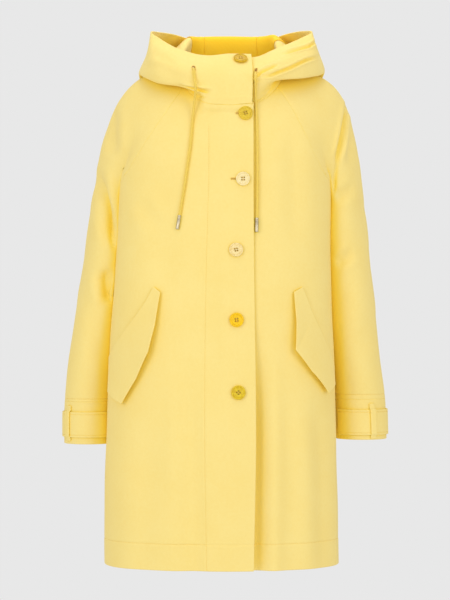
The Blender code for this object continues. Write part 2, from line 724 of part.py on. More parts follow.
def button(number, across, height):
    place, outward = (tab_place if number == 1 else front_place)(across, height)
    level, up = frame_of(outward)
    base = place + outward * (TAB_CLEAR if number == 1 else BUTTON_CLEAR)
    radius = BUTTON_ACROSS / 2
    profile = (
        (radius * 0.80, 0.0),
        (radius, BUTTON_THICK * 0.45),
        (radius * 0.96, BUTTON_THICK),
        (radius - BUTTON_RIM, BUTTON_THICK),
        (radius - BUTTON_RIM - 0.0008, BUTTON_THICK - BUTTON_DISH),
    )
    points, faces = [], []
    turns = np.arange(BUTTON_SIDES) * 2 * pi / BUTTON_SIDES
    for out, up_by in profile:
        for turn in turns:
            points.append(base + level * out * cos(turn) + up * out * sin(turn) + outward * up_by)
    for k in range(len(profile) - 1):
        for j in range(BUTTON_SIDES):
            a, b = k * BUTTON_SIDES + j, k * BUTTON_SIDES + (j + 1) % BUTTON_SIDES
            faces.append((a, b, b + BUTTON_SIDES, a + BUTTON_SIDES))
    faces.append(tuple(range(BUTTON_SIDES))[::-1])
    faces.append(tuple(range((len(profile) - 1) * BUTTON_SIDES, len(profile) * BUTTON_SIDES)))
    made = add_mesh(f"button_{number}", points, faces, BUTTON)

    holes, hole_faces = [], []
    for quarter in range(4):
        middle = radians(45 + 90 * quarter)
        centre = base + (level * cos(middle) + up * sin(middle)) * HOLE_OUT
        first = len(holes)
        for depth in (-HOLE_PAST, BUTTON_THICK + HOLE_PAST):
            for j in range(HOLE_SIDES):
                turn = j * 2 * pi / HOLE_SIDES
                rim = (level * cos(turn) + up * sin(turn)) * HOLE_ACROSS / 2
                holes.append(centre + rim + outward * depth)
        for j in range(HOLE_SIDES):
            a, b = first + j, first + (j + 1) % HOLE_SIDES
            hole_faces.append((a, b, b + HOLE_SIDES, a + HOLE_SIDES))
        hole_faces.append(tuple(range(first, first + HOLE_SIDES))[::-1])
        hole_faces.append(tuple(range(first + HOLE_SIDES, first + 2 * HOLE_SIDES)))
    cutter = add_mesh(f"button_holes_{number}", holes, hole_faces, BUTTON)
    cutter.hide_render = True
    cutter.display_type = "WIRE"
    cut = made.modifiers.new("thread holes", "BOOLEAN")
    cut.object = cutter
    cut.operation = "DIFFERENCE"


def cord_route(side):
    """Evenly spaced points of the smooth curve that a drawstring end follows."""
    rows = np.array(CORDS[side])
    fine = through(np.arange(len(rows)), rows, np.linspace(0, len(rows) - 1, 400))
    run = np.concatenate([[0], np.cumsum(np.linalg.norm(np.diff(fine, axis=0), axis=1))])
    count = int(run[-1] / (2.5 * CORD_ACROSS)) + 1
    marks = np.linspace(0, run[-1], count)
    return np.stack([np.interp(marks, run, fine[:, k]) for k in range(3)], -1)


def drawstring(side):
    word = "right" if side == RIGHT else "left"
    route = cord_route(side)
    curve = bpy.data.curves.new("drawstring_" + word, "CURVE")
    curve.dimensions = "3D"
    curve.bevel_depth = CORD_ACROSS / 2
    curve.bevel_resolution = 2
    curve.use_fill_caps = True
    spline = curve.splines.new("POLY")
    spline.points.add(len(route) - 1)
    for point, place in zip(spline.points, route):
        point.co = (*place, 1)
    curve.materials.append(material(CORD))
    made = bpy.data.objects.new("drawstring_" + word, curve)
    bpy.context.scene.collection.objects.link(made)

    along = unit(route[-1] - route[-2])
    level, up = frame_of(along)
    start = route[-1] + along * 0.0003
    sides, radius = 12, TIP_ACROSS / 2
    profile = ((radius * 0.9, 0.0), (radius, 0.0006), (radius, TIP_LONG - 0.0008), (radius * 0.85, TIP_LONG))
    points, faces = [], []
    for out, down in profile:
        for j in range(sides):
            turn = j * 2 * pi / sides
            points.append(start + along * down + (level * cos(turn) + up * sin(turn)) * out)
    for k in range(len(profile) - 1):
        for j in range(sides):
            a, b = k * sides + j, k * sides + (j + 1) % sides
            faces.append((a, b, b + sides, a + sides))
    faces.append(tuple(range(sides))[::-1])
    faces.append(tuple(range((len(profile) - 1) * sides, len(profile) * sides)))
    add_mesh("cord_tip_" + word, points, faces, METAL)


def build():
    for old in list(bpy.data.objects):
        bpy.data.objects.remove(old)
    for side in (RIGHT, LEFT):
        front_panel(side)
        sleeve(side)
        cuff_pieces(side)
        flap(side)
        drawstring(side)
    back_panel()
    hood_pieces()
    for number, (across, height) in enumerate(BUTTONS, 1):
        button(number, across, height)


build()
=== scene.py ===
"""A hooded wool coat, filled out as if worn, with its wide hood folded down on the back.

Metres, +Z up. The front faces -Y and the wearer's left is +X. Each piece of cloth is a thin shell:
its outer face is worked out from the coat's own sizes, then creased, and its edges are rolled.
"""

import bpy
import numpy as np
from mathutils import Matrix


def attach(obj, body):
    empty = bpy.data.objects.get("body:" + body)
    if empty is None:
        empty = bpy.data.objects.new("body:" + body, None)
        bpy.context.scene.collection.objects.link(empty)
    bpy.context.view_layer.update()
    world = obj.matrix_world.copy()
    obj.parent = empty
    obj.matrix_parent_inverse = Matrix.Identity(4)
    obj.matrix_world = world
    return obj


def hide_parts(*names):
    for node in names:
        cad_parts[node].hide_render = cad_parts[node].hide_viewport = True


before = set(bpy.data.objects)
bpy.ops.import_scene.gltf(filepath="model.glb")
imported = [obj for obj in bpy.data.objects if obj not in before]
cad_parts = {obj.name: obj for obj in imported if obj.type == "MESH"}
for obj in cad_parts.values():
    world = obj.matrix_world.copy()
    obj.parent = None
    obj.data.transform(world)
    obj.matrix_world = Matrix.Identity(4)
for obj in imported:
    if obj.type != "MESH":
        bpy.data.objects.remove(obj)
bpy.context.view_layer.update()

# Camera. It stands 4.4 m in front of the coat, level with its middle and a little to the wearer's
# right, so that the hem's front edge hangs a few millimetres lower in view than its sides.
camera_distance, camera_across, camera_height = 4.4, -0.0117, -0.4193
pixel_on_coat = 0.00195  # metres at the neck's depth that one of the picture's pixels covers
picture_height = 600  # pixels


def add_object(name, data):
    """Puts a camera, a light or a mesh in the scene."""
    made = bpy.data.objects.new(name, data)
    bpy.context.scene.collection.objects.link(made)
    return made


camera_data = bpy.data.cameras.new("camera")
camera_data.lens = camera_data.sensor_width * camera_distance / (pixel_on_coat * picture_height)
camera = add_object("camera", camera_data)
camera.location = (camera_across, -camera_distance, camera_height)
camera.rotation_euler = (np.pi / 2, 0, 0)
bpy.context.scene.camera = camera
bpy.context.scene.view_settings.view_transform = "Standard"


# Studio. A pale room lights the coat from all round, as a light tent does. Soft boxes on both
# sides, above and in front give the light a little direction, and a small one over the neck reaches
# into the hood. The room's wall is a little brighter to look at than the light that it gives off.
def linear(hex_colour):
    """An sRGB colour such as #FBDF86 as linear red, green, blue and alpha."""
    parts = [int(hex_colour[k : k + 2], 16) / 255 for k in (1, 3, 5)]
    return [p / 12.92 if p <= 0.04045 else ((p + 0.055) / 1.055) ** 2.4 for p in parts] + [1.0]


def fill(tree, made, inputs):
    """Sets a node's sockets. inputs maps each one to a value, or to a socket to link it to."""
    for socket, value in inputs.items():
        if isinstance(value, bpy.types.NodeSocket):
            tree.links.new(value, made.inputs[socket])
        else:
            made.inputs[socket].default_value = value
    return made


def node(tree, kind, inputs={}, **settings):
    """Adds a node with its settings and links."""
    made = tree.nodes.new("ShaderNode" + kind)
    for name, value in settings.items():
        setattr(made, name, value)
    return fill(tree, made, inputs)


studio_grey = "#E8E8E8"
world = bpy.data.worlds.new("light tent")
world.use_nodes = True
tree = world.node_tree
seen = node(tree, "LightPath").outputs["Is Camera Ray"]
strength = node(tree, "MapRange", {"Value": seen, "To Min": 0.80, "To Max": 1.0}).outputs[0]
fill(tree, tree.nodes["Background"], {"Color": linear(studio_grey), "Strength": strength})
bpy.context.scene.world = world

# name, place, what it points at, width, watts
for name, place, aim, width, watts in (
    ("soft box left", (-2.8, -3.4, 0.5), (0.0, 0.0, -0.40), 1.8, 39.0),
    ("soft box right", (2.8, -3.6, 0.5), (0.0, 0.0, -0.40), 1.8, 38.0),
    ("soft box above", (0.0, -1.2, 3.0), (0.0, 0.0, -0.10), 1.6, 13.0),
    ("soft box over the neck", (0.0, 0.03, 0.40), (0.0, 0.02, 0.0), 0.4, 0.62),
    ("soft box in front", (-0.4, -4.6, -0.6), (0.0, 0.0, -0.60), 2.2, 13.0),
):
    light = bpy.data.lights.new(name, "AREA")
    light.size = width
    light.energy = watts
    lamp = add_object(name, light)
    lamp.location = place
    away = np.array(place) - np.array(aim)
    lamp.rotation_euler = (np.arctan2(np.hypot(*away[:2]), away[2]), 0, np.arctan2(away[0], -away[1]))


# Floor. A pale sheet lit from below, far under the coat, of the same grey as the room, so that no
# line shows where they meet.
def new_material(name):
    """A material, its tree, and the place on the piece that it is on, in metres."""
    made = bpy.data.materials.new(name)
    made.use_nodes = True
    return made, made.node_tree, node(made.node_tree, "TexCoord").outputs["Object"]


def add_mesh(name, points, faces, material=None):
    mesh = bpy.data.meshes.new(name)
    mesh.from_pydata(np.asarray(points).tolist(), [], [list(map(int, face)) for face in faces])
    mesh.shade_smooth()
    if material:
        mesh.materials.append(material)
    return add_object(name, mesh)


# Opal acrylic, lit from behind: it looks the same from everywhere.
glow, tree, _ = new_material("backlit opal acrylic")
tree.nodes.clear()
lit = node(tree, "Emission", {"Color": linear(studio_grey), "Strength": 1.0})
node(tree, "OutputMaterial", {"Surface": lit.outputs["Emission"]})
floor_height, floor_reach = -1.45, 60.0
corners = [(x * floor_reach, y * floor_reach, floor_height) for x, y in ((-1, -1), (1, -1), (1, 1), (-1, 1))]
floor = add_mesh("floor", corners, [(0, 1, 2, 3)], glow)


# Back. One panel from side seam to side seam, cut from milled wool, which is thick, matt and
# felted. It runs from the seam under the hood to the hem, and the raglan seams take its shoulders.
RIGHT, LEFT = -1, 1  # the wearer's sides, as signs along X
both_sides = ((RIGHT, "right"), (LEFT, "left"))
wool_thickness = 0.0026
seam_radius = 0.0012  # how round an edge is where it meets its neighbour in a pressed seam

# height, centre, half width, front depth, back depth
body_rows = (
    (-0.931, -0.0188, 0.2280, 0.148, 0.148),
    (-0.780, -0.0192, 0.2264, 0.144, 0.144),
    (-0.610, -0.0186, 0.2214, 0.139, 0.139),
    (-0.480, -0.0178, 0.2160, 0.135, 0.135),
    (-0.320, -0.0148, 0.2085, 0.130, 0.131),
    (-0.195, -0.0108, 0.2055, 0.125, 0.128),
)
hem_height, armhole_height = body_rows[0][0], body_rows[-1][0]
squareness = 0.05  # how much fuller than an ellipse a level is between its front and its side
turned_up_hem = 0.050  # the stitches that hold the hem are this far above it

# The neck seam. angle from the front, out to the side, back, height, slope of the cloth below it
neck_rows = (
    (0, 0.000, -0.100, -0.050, 74),
    (30, 0.052, -0.092, -0.042, 66),
    (60, 0.090, -0.055, -0.008, 40),
    (90, 0.104, 0.010, 0.035, 2),
    (120, 0.090, 0.066, 0.031, 22),
    (150, 0.052, 0.093, 0.019, 48),
    (180, 0.000, 0.101, 0.014, 56),
)
dome_fullness = 1.1
# The raglan seams. share of the way from armpit to neck, angle on the front; the back mirrors it
raglan_rows = ((0, 90), (0.03, 76), (0.09, 65), (0.20, 58.5), (0.45, 54.5), (0.70, 55.5), (1, 59))
# The side seams. height, angle
side_seam_rows = ((-0.931, 71), (-0.610, 78), (-0.320, 86), (-0.195, 90))


def bend(start, leaving, end, arriving, u):
    """A smooth curve from start, leaving one way, to end, arriving another."""
    return (
        start * (1 + 2 * u) * (1 - u) ** 2
        + leaving * u * (1 - u) ** 2
        + end * u * u * (3 - 2 * u)
        + arriving * u * u * (u - 1)
    )


def through(knots, values, at):
    """Values read from a smooth curve through a table's rows; outside them it stays at its end."""
    knots, values = np.asarray(knots, float), np.asarray(values, float)
    at = np.clip(np.asarray(at, float), knots[0], knots[-1])
    slopes = np.gradient(values, knots, axis=0)
    row = np.clip(np.searchsorted(knots, at, "right") - 1, 0, len(knots) - 2)
    span = knots[row + 1] - knots[row]
    u = (at - knots[row]) / span
    if values.ndim > 1:
        u, span = u[..., None], span[..., None]
    return bend(values[row], slopes[row] * span, values[row + 1], slopes[row + 1] * span, u)


def read(table, at):
    """The other columns of a table, where its first one is at a value."""
    table = np.asarray(table, float)
    found = np.moveaxis(through(table[:, 0], table[:, 1:], at), -1, 0)
    return found if len(found) > 1 else found[0]


def ease(value, low, high):
    """0 below low, 1 above high, and a smooth rise between them."""
    u = np.clip((value - low) / (high - low), 0, 1)
    return u * u * (3 - 2 * u)


def within(value, low, full, fading, high):
    """1 from full to fading, 0 below low and above high, and smooth between them."""
    return ease(value, low, full) * (1 - ease(value, fading, high))


def unit(vectors):
    return vectors / np.maximum(np.linalg.norm(vectors, axis=-1, keepdims=True), 1e-12)


def level_point(height, angle):
    """A point of the body below the armholes. Angle 0 is the front centre, pi/2 the left side."""
    centre, half, front, back = read(body_rows, height)
    depth = np.where(np.cos(angle) > 0, front, back)
    full = 1 + squareness * np.sin(2 * angle) ** 2
    return np.stack(
        [centre + half * full * np.sin(angle), -depth * full * np.cos(angle), height + 0 * angle], -1
    )


def neck_point(angle):
    """A point of the neck seam, and the way that the cloth runs up to it."""
    side = np.where(np.sin(angle) < 0, -1.0, 1.0)
    turn = np.degrees(np.arccos(np.clip(np.cos(angle), -1, 1)))
    out, back, up, slope = read(neck_rows, turn)
    point = np.stack([side * out, back, up], -1)
    inward = unit(-point * np.array((1.0, 1.0, 0.0)))
    slope = np.radians(slope)[..., None]
    return point, inward * np.cos(slope) + np.array((0, 0, 1.0)) * np.sin(slope)


def body_point(level, angle):
    """A point of the coat's outer form. Level -1 is the hem, 0 the armholes, 1 the neck seam."""
    level, angle = np.broadcast_arrays(np.asarray(level, float), np.asarray(angle, float))
    height = hem_height + (np.clip(level, -1, 0) + 1) * (armhole_height - hem_height)
    low = level_point(height, angle)
    base = level_point(np.full(angle.shape, armhole_height), angle)
    top, arriving = neck_point(angle)
    reach = dome_fullness * np.linalg.norm(top - base, axis=-1, keepdims=True)
    high = bend(base, np.array((0, 0, 1.0)) * reach, top, arriving * reach, np.clip(level, 0, 1)[..., None])
    return np.where((level > 0)[..., None], high, low)


def body_normal(level, angle):
    """The outward direction of that form."""
    level, angle = np.broadcast_arrays(np.asarray(level, float), np.asarray(angle, float))
    step = 1e-3
    low, high = np.clip(level - step, -1, 1), np.clip(level + step, -1, 1)
    along = body_point(level, angle + step) - body_point(level, angle - step)
    return unit(np.cross(along, body_point(high, angle) - body_point(low, angle)))


def level_height(level):
    return hem_height + (np.minimum(level, 0) + 1) * (armhole_height - hem_height)


edge_steps = np.array((0, 0.0008, 0.0018, 0.0032, 0.0050))
edge_rows = len(edge_steps)


def shares(length, step, crowd=()):
    """Shares of a run of cloth, from 0 to 1. The steps are even, but closer at both ends, where
    edges roll over, and at the lengths in crowd, where stitches press the cloth in."""
    marks = (0, *crowd, length)
    runs = []
    for a, b in zip(marks, marks[1:]):
        close = edge_steps * min(1, (b - a) / (2.3 * edge_steps[-1]))
        even = np.linspace(a, b, max(round((b - a) / step), 2) + 1)
        even = even[(even > a + 1.4 * close[-1]) & (even < b - 1.4 * close[-1])]
        runs.append(np.concatenate([a + close, even, (b - close)[:0:-1]]))
    return np.concatenate([*runs, [length]]) / length


def raglan_angle(share, back=False):
    angle = np.radians(read(raglan_rows, share))
    return np.pi - angle if back else angle


def side_angle(level, back=False):
    """Where a front or back panel ends: its side seam, then its raglan seam."""
    low = np.radians(read(side_seam_rows, level_height(level)))
    return np.where(level > 0, raglan_angle(np.clip(level, 0, 1), back), low)


def panel_levels():
    """Rows of a body panel. Above the armholes they crowd towards the armpit, where seams turn."""
    low = shares(armhole_height - hem_height, 0.0042, (turned_up_hem,))
    return np.concatenate([low[:-edge_rows] - 1, [-1e-3], shares(0.20, 0.0036)[edge_rows:] ** 1.5])[:, None]


def grid_normals(points, toward, closed=False):
    """The directions out of a grid's outer face; toward is roughly where it faces."""
    if closed:
        around = np.roll(points, -1, 1) - np.roll(points, 1, 1)
    else:
        around = np.gradient(points, axis=1)
    found = unit(np.cross(around, np.gradient(points, axis=0)))
    return found * np.sign((found * toward).sum())


# Where a fold is drawn from: the two axes of its path, and the direction that its cloth faces.
looks = {
    "front": ((0, 2), (0, -1, 0)),
    "back": ((0, 2), (0, 1, 0)),
    "right": ((1, 2), (-1, 0, 0)),
    "left": ((1, 2), (1, 0, 0)),
}


def crease(points, outward, look, path, width, depth, swell=0.3):
    """How far a soft trough along a path moves cloth out, with a low swell on both sides of it.
    Path, width and depth are in mm."""
    axes, facing = looks[look]
    flat, path, width, depth = points[..., axes], np.array(path) / 1000, width / 1000, depth / 1000
    steps = np.linalg.norm(np.diff(path, axis=0), axis=1)
    best, run = np.full(flat.shape[:-1], np.inf), np.zeros(flat.shape[:-1])
    for k, step in enumerate(steps):
        along = (path[k + 1] - path[k]) / step
        t = np.clip((flat - path[k]) @ along, 0, step)
        off = np.linalg.norm(flat - path[k] - t[..., None] * along, axis=-1)
        run = np.where(off < best, (steps[:k].sum() + t) / steps.sum(), run)
        best = np.minimum(best, off)
    fade = ease(run, 0, 0.3) * ease(1 - run, 0, 0.3) * ease(outward @ np.array(facing), -0.1, 0.4)
    d = best / width
    return depth * fade * (swell * np.exp(-(((d - 1.9) / 0.9) ** 2)) - np.exp(-(d**2)))


waves = np.random.default_rng(11)
wave_ways = unit(waves.normal(size=(9, 3))) * 2 * np.pi / waves.uniform(0.09, 0.26, (9, 1))
wave_starts = waves.uniform(0, 2 * np.pi, 9)

tab_front, tab_middle, tab_bend = -0.1111, 0.012, 2.1  # the level that the neck seam is pressed to
tab_seam, tab_rise = -0.0483, 1.9  # the seam's height at the middle, and how it rises to its sides
tab_sink, tab_soft = 0.0008, 0.0008  # how far an edge goes under, and how softly it is pressed
# the part that is pressed, on the front of the neck: where it starts, is whole, fades and ends
tab_across, tab_upright = (-0.068, -0.050, 0.060, 0.070), (-0.0605, -0.0550, -0.035, -0.028)


def hung(points, outward, folds=(), waviness=0.0008, lap=0):
    """Cloth moved off its plain form by its folds and by the gentle waves that it hangs in. The
    waves are the same for all pieces, so that they go on across the seams. The neck seam of the
    pieces that lap over the front centre is pressed flat, so that the front runs smoothly up into the
    hood; lap is 1 for the front there, whose top edge goes under, and -1 for the hood."""
    move = waviness * np.sin(points @ wave_ways.T + wave_starts).sum(-1) / 3
    for fold in folds:
        move = move + crease(points, outward, *fold)
    made = points + outward * move[..., None]
    if not lap:
        return made
    x, y, z = np.moveaxis(points, -1, 0)
    middle = ease(-y, 0.080, 0.090) * within(x, *tab_across) * within(z, *tab_upright)
    level = tab_front + tab_bend * (x - tab_middle) ** 2
    above = z - tab_seam - tab_rise * x**2
    level = level + tab_sink * ease(lap * above, -0.0015, 0.0020)
    behind = made[..., 1] - level
    made[..., 1] -= middle * (behind + np.hypot(behind, tab_soft)) / 2
    return made


def pressed(distance, depth=0.0006, width=0.0014):
    """The groove that a row of stitches presses into thick cloth."""
    return -depth * np.exp(-((distance / width) ** 2))


def draw_in(grid, edge, inset):
    """Draws one edge of a grid in by a small distance, and the cloth near it by less and less."""
    if edge in ("start", "end"):
        grid = np.swapaxes(grid, 0, 1)
    if edge in ("top", "end"):
        grid = grid[::-1]
    steps = np.linalg.norm(np.diff(grid, axis=0), axis=-1)
    run = np.concatenate([np.zeros((1, grid.shape[1])), np.cumsum(steps, 0)])
    grid += unit(np.gradient(grid, axis=0)) * (inset * np.clip(1 - run / 0.015, 0, 1))[..., None]


def set_shader(tree, inputs):
    fill(tree, tree.nodes["Principled BSDF"], inputs)


# Milled wool is felted, so no weave shows: a soft matt nap with short fibres that catch the light
# at grazing angles. The nap clumps at about 5 mm, in patches of 60 mm; the fibres, really 0.02 mm
# across, are drawn 0.5 mm apart so that they show. Where cloth nearly meets cloth, an occlusion
# mask paints the base colour a deeper gold: painted shade in creases, gaps and under edges.
wool, tree, place = new_material("milled wool, pale yellow")
clumps = node(tree, "TexNoise", {"Vector": place, "Scale": 1 / 0.005, "Detail": 3.0})
patches = node(tree, "TexNoise", {"Vector": place, "Scale": 1 / 0.06, "Detail": 2.0})
fibres = node(tree, "TexNoise", {"Vector": place, "Scale": 1 / 0.0005, "Detail": 2.0, "Roughness": 0.7})
both = node(tree, "Math", {0: clumps.outputs[0], 1: patches.outputs[0]}, operation="ADD")
share = node(tree, "MapRange", {"Value": both.outputs[0], "From Min": 0.75, "From Max": 1.25})
tint = {0: share.outputs[0], 6: linear("#F5DB84"), 7: linear("#F6DE8A")}
tint = node(tree, "Mix", tint, data_type="RGBA")
# Painted shade: this occlusion mask mixes a deeper gold into the base colour in creases and gaps.
open_sky = node(tree, "AmbientOcclusion", {"Distance": 0.045}, samples=6).outputs["AO"]
clear = node(tree, "MapRange", {"Value": open_sky, "From Min": 0.35, "From Max": 0.84})
tint_and_painted_shade = {0: clear.outputs[0], 6: linear("#FDE258"), 7: tint.outputs[2]}
tint_and_painted_shade = node(tree, "Mix", tint_and_painted_shade, data_type="RGBA")
nap = node(tree, "Bump", {"Height": clumps.outputs[0], "Strength": 0.25, "Distance": 0.0006})
fuzz = {"Height": fibres.outputs[0], "Strength": 0.35, "Distance": 0.0002, "Normal": nap.outputs[0]}
wool_finish = {
    "Base Color": tint_and_painted_shade.outputs[2],
    "Normal": node(tree, "Bump", fuzz).outputs[0],
    "Roughness": 0.95,
    "Specular IOR Level": 0.15,
    "Sheen Weight": 0.25,
    "Sheen Roughness": 0.45,
    "Sheen Tint": linear("#FFF3C4"),
}
set_shader(tree, wool_finish)
surfaces = {}  # the outer face of each cloth piece, and the directions out of it


def quads(index, closed=False):
    """The faces between the rows of a grid of points, or of a tube's rings."""
    if closed:
        index = np.concatenate([index, index[:, :1]], 1)
    return np.stack([index[:-1, :-1], index[:-1, 1:], index[1:, 1:], index[1:, :-1]], -1).reshape(-1, 4)


def shell(name, outer, toward, thickness=wool_thickness, material=wool, closed=False, joined=()):
    """Cloth as a closed shell with rounded edges. Edges in joined meet a neighbour in a seam."""
    outer = outer.copy()
    for edge in ("bottom", "top") if closed else ("bottom", "top", "start", "end"):
        draw_in(outer, edge, seam_radius - 0.0002 if edge in joined else thickness / 2)
    normals = grid_normals(outer, toward, closed)
    surfaces[name] = (outer, normals)
    rows, columns = outer.shape[:2]
    index = np.arange(rows * columns).reshape(rows, columns)
    outside = quads(index, closed)
    flat, ups = outer.reshape(-1, 3), normals.reshape(-1, 3)
    points = [flat, flat - ups * thickness]
    under = rows * columns
    faces = [outside, outside[:, ::-1] + under]

    down, along = unit(np.gradient(outer, axis=0)), unit(np.gradient(outer, axis=1))
    radius = np.full(outer.shape[:2], thickness / 2)
    places = {"bottom": (0,), "top": (-1,), "start": (slice(None), 0), "end": (slice(None), -1)}
    for edge in joined:
        radius[places[edge]] = seam_radius
    radius = radius.reshape(-1, 1)
    if closed:
        edges = [(index[0], -down[0]), (index[-1][::-1], down[-1][::-1])]
    else:
        loop = np.concatenate([index[0], index[1:, -1], index[-1, -2::-1], index[-2:0:-1, 0]])
        out = np.concatenate([-down[0], along[1:, -1], down[-1, -2::-1], -along[-2:0:-1, 0]])
        for k in (0, columns - 1, columns + rows - 2, 2 * columns + rows - 3):
            out[k] = unit(out[k] + out[k - 1] + out[(k + 1) % len(out)])
        edges = [(loop, out)]
    for loop, out in edges:
        last = loop
        for turn in np.radians((45, 90, 135, 180)):
            if turn > 3:
                ring = loop + under
            else:
                ring = sum(len(p) for p in points) + np.arange(len(loop))
                r = radius[loop]
                rise = np.cos(turn) * r - (r if turn < 2 else thickness - r)
                points.append(flat[loop] + ups[loop] * rise + out * np.sin(turn) * r)
            faces.append(np.stack([np.roll(last, -1), last, ring, np.roll(ring, -1)], -1))
            last = ring
    faces = np.concatenate(faces)
    a, b, d = (flat[outside[:, k]] for k in (0, 1, 3))
    if (np.cross(b - a, d - a) * ups[outside[:, 0]]).sum() < 0:
        faces = faces[:, ::-1]
    return add_mesh(name, np.concatenate(points), faces, material)


def fasten(piece, plain=None):
    """Puts a piece on the coat, in place of its plain solid if it has one."""
    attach(piece, "root")
    if plain:
        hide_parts(plain)


def sew_on(piece, node_name):
    """Puts a cloth piece on the coat in place of its plain solid."""
    fasten(piece, node_name)


# Polyester sewing thread, twisted from fine filaments and a little glossy. The filaments are really
# 0.02 mm across; the twist is drawn 0.3 mm apart.
thread, tree, place = new_material("polyester sewing thread, yellow")
twist = node(tree, "TexNoise", {"Vector": place, "Scale": 1 / 0.0003, "Detail": 2.0})
tint = {0: twist.outputs[0], 6: linear("#E2B64C"), 7: linear("#F0CB68")}
tint = node(tree, "Mix", tint, data_type="RGBA").outputs[2]
set_shader(tree, {"Base Color": tint, "Roughness": 0.55, "Sheen Weight": 0.2})


def rod_faces(rings, sides):
    """The faces of a rod with closed ends, made of rings of points."""
    index = np.arange(rings * sides).reshape(rings, sides)
    return [*quads(index, True).tolist(), index[0][::-1].tolist(), index[-1].tolist()]


def stitches(name, lines, long=0.0034, gap=0.0009, across=0.0005):
    """Rows of sewn stitches along lines, each of them points and the directions out of the cloth
    there. Each stitch is a short thread that rises out of the cloth and dives back into it."""
    # shares of a stitch's length, and its height out of the cloth there as a share of its width
    rise = np.array(((0, 0.22, 0.5, 0.78, 1), (-0.6, 0.25, 0.4, 0.25, -0.6)))
    sides = 6
    shape = np.radians(np.arange(sides) * 360 / sides)
    size = rise.shape[1] * sides
    points, faces = [], []
    for line, outward in lines:
        run = np.concatenate([[0], np.cumsum(np.linalg.norm(np.diff(line, axis=0), axis=1))])
        count = max(int((run[-1] - 2 * gap) / (long + gap)), 1)
        starts = gap + np.arange(count)[:, None] * (run[-1] - 2 * gap) / count
        marks = starts + long * rise[0]
        centre = np.stack([np.interp(marks, run, line[:, k]) for k in range(3)], -1)
        up = unit(np.stack([np.interp(marks, run, outward[:, k]) for k in range(3)], -1))
        centre = centre + up * (rise[1] * across)[:, None]
        side = unit(np.cross(np.gradient(centre, axis=1), up))
        ring = side[:, :, None] * np.cos(shape)[:, None] + up[:, :, None] * np.sin(shape)[:, None]
        first = sum(len(p) for p in points)
        points.append((centre[:, :, None] + ring * across / 2).reshape(-1, 3))
        for a in range(first, first + count * size, size):
            faces += [[i + a for i in face] for face in rod_faces(rise.shape[1], sides)]
    made = add_mesh(name, np.concatenate(points), faces, thread)
    fasten(made)
    return made


def hem_row(name):
    """The line at the height of the stitches that hold the turned-up hem."""
    outer, normals = surfaces[name]
    row = np.abs(outer[:, 0, 2] - hem_height - turned_up_hem).argmin()
    return outer[row], normals[row]


def hem_pressing(form):
    """The move that all three panels share: a stitched hem, which is doubled below its stitches."""
    height = form[..., 2] - hem_height - turned_up_hem
    return pressed(height) + 0.0004 * (1 - ease(height, -0.004, 0))


# look, path of (across, height), half width, depth, all in mm, and the share of the swells
back_folds = (
    ("back", ((-150, -160), (-120, -300), (-110, -520)), 28, 7.5),
    ("back", ((165, -170), (130, -330), (120, -600)), 30, 7.5),
    ("back", ((-10, -240), (-18, -500), (-15, -800)), 34, 6),
    ("back", ((-85, -450), (-90, -700), (-95, -1050)), 26, 9),
    ("back", ((60, -400), (68, -700), (75, -1050)), 28, 9),
    ("back", ((-190, -200), (-165, -280), (-120, -340)), 16, 6),
    ("back", ((188, -210), (160, -280), (110, -330)), 16, 6),
)
levels = panel_levels()
seam = side_angle(levels, back=True)
back_width = 0.66  # roughly, to space its columns
form = body_point(levels, seam + (2 * np.pi - 2 * seam) * shares(back_width, 0.0056))
outward = grid_normals(form, form * (1, 1, 0))
made = hung(form, outward, back_folds) + outward * hem_pressing(form)[..., None]
coat_back = shell("coat_back", made, outward, joined=("top", "start", "end"))
back_stitches = stitches("hem_stitches_back", [hem_row("coat_back")])
sew_on(coat_back, "back")


# Fronts. Two panels with faced front edges. The wearer's right one laps over the left one by 55 mm
# and carries the buttonholes; a row of stitches holds its facing, and another the turned-up hem.
# height, how far left of the middle
overlap_rows = ((-0.931, 0.0425), (-0.700, 0.0465), (-0.320, 0.0430), (-0.060, 0.0420))
facing_rows = ((-0.931, -0.0465), (-0.665, -0.0500), (-0.389, -0.0478), (-0.154, -0.0412))
underlap_edge = -0.012
overlap_lift, overlap_full, overlap_start = 0.0050, -0.004, -0.046
facing_width, side_width, left_width = 0.092, 0.23, 0.27  # roughly, to space their columns


def angle_at(level, across):
    """The angle at which the body's front is that far from the middle, found by halving."""
    level, across = np.broadcast_arrays(level, across)
    low, high = np.full(level.shape, -np.pi / 2), np.full(level.shape, np.pi / 2)
    for _ in range(30):
        middle = (low + high) / 2
        short = body_point(level, middle)[..., 0] < across
        low, high = np.where(short, middle, low), np.where(short, high, middle)
    return low


def front_angles(side, levels):
    """Columns of a front panel, from its front edge to its side or raglan seam."""
    seam = side * side_angle(levels)
    if side == LEFT:
        edge = angle_at(levels, underlap_edge)
        return edge + (seam - edge) * shares(left_width, 0.0042)
    height = level_height(levels)
    edge = read(overlap_rows, height)
    stitched = read(facing_rows, height)
    near = angle_at(levels, edge + (stitched - edge) * shares(facing_width, 0.0036)[:-1])
    start = angle_at(levels, stitched)
    return np.concatenate([near, start + (seam - start) * shares(side_width, 0.0042)], 1)


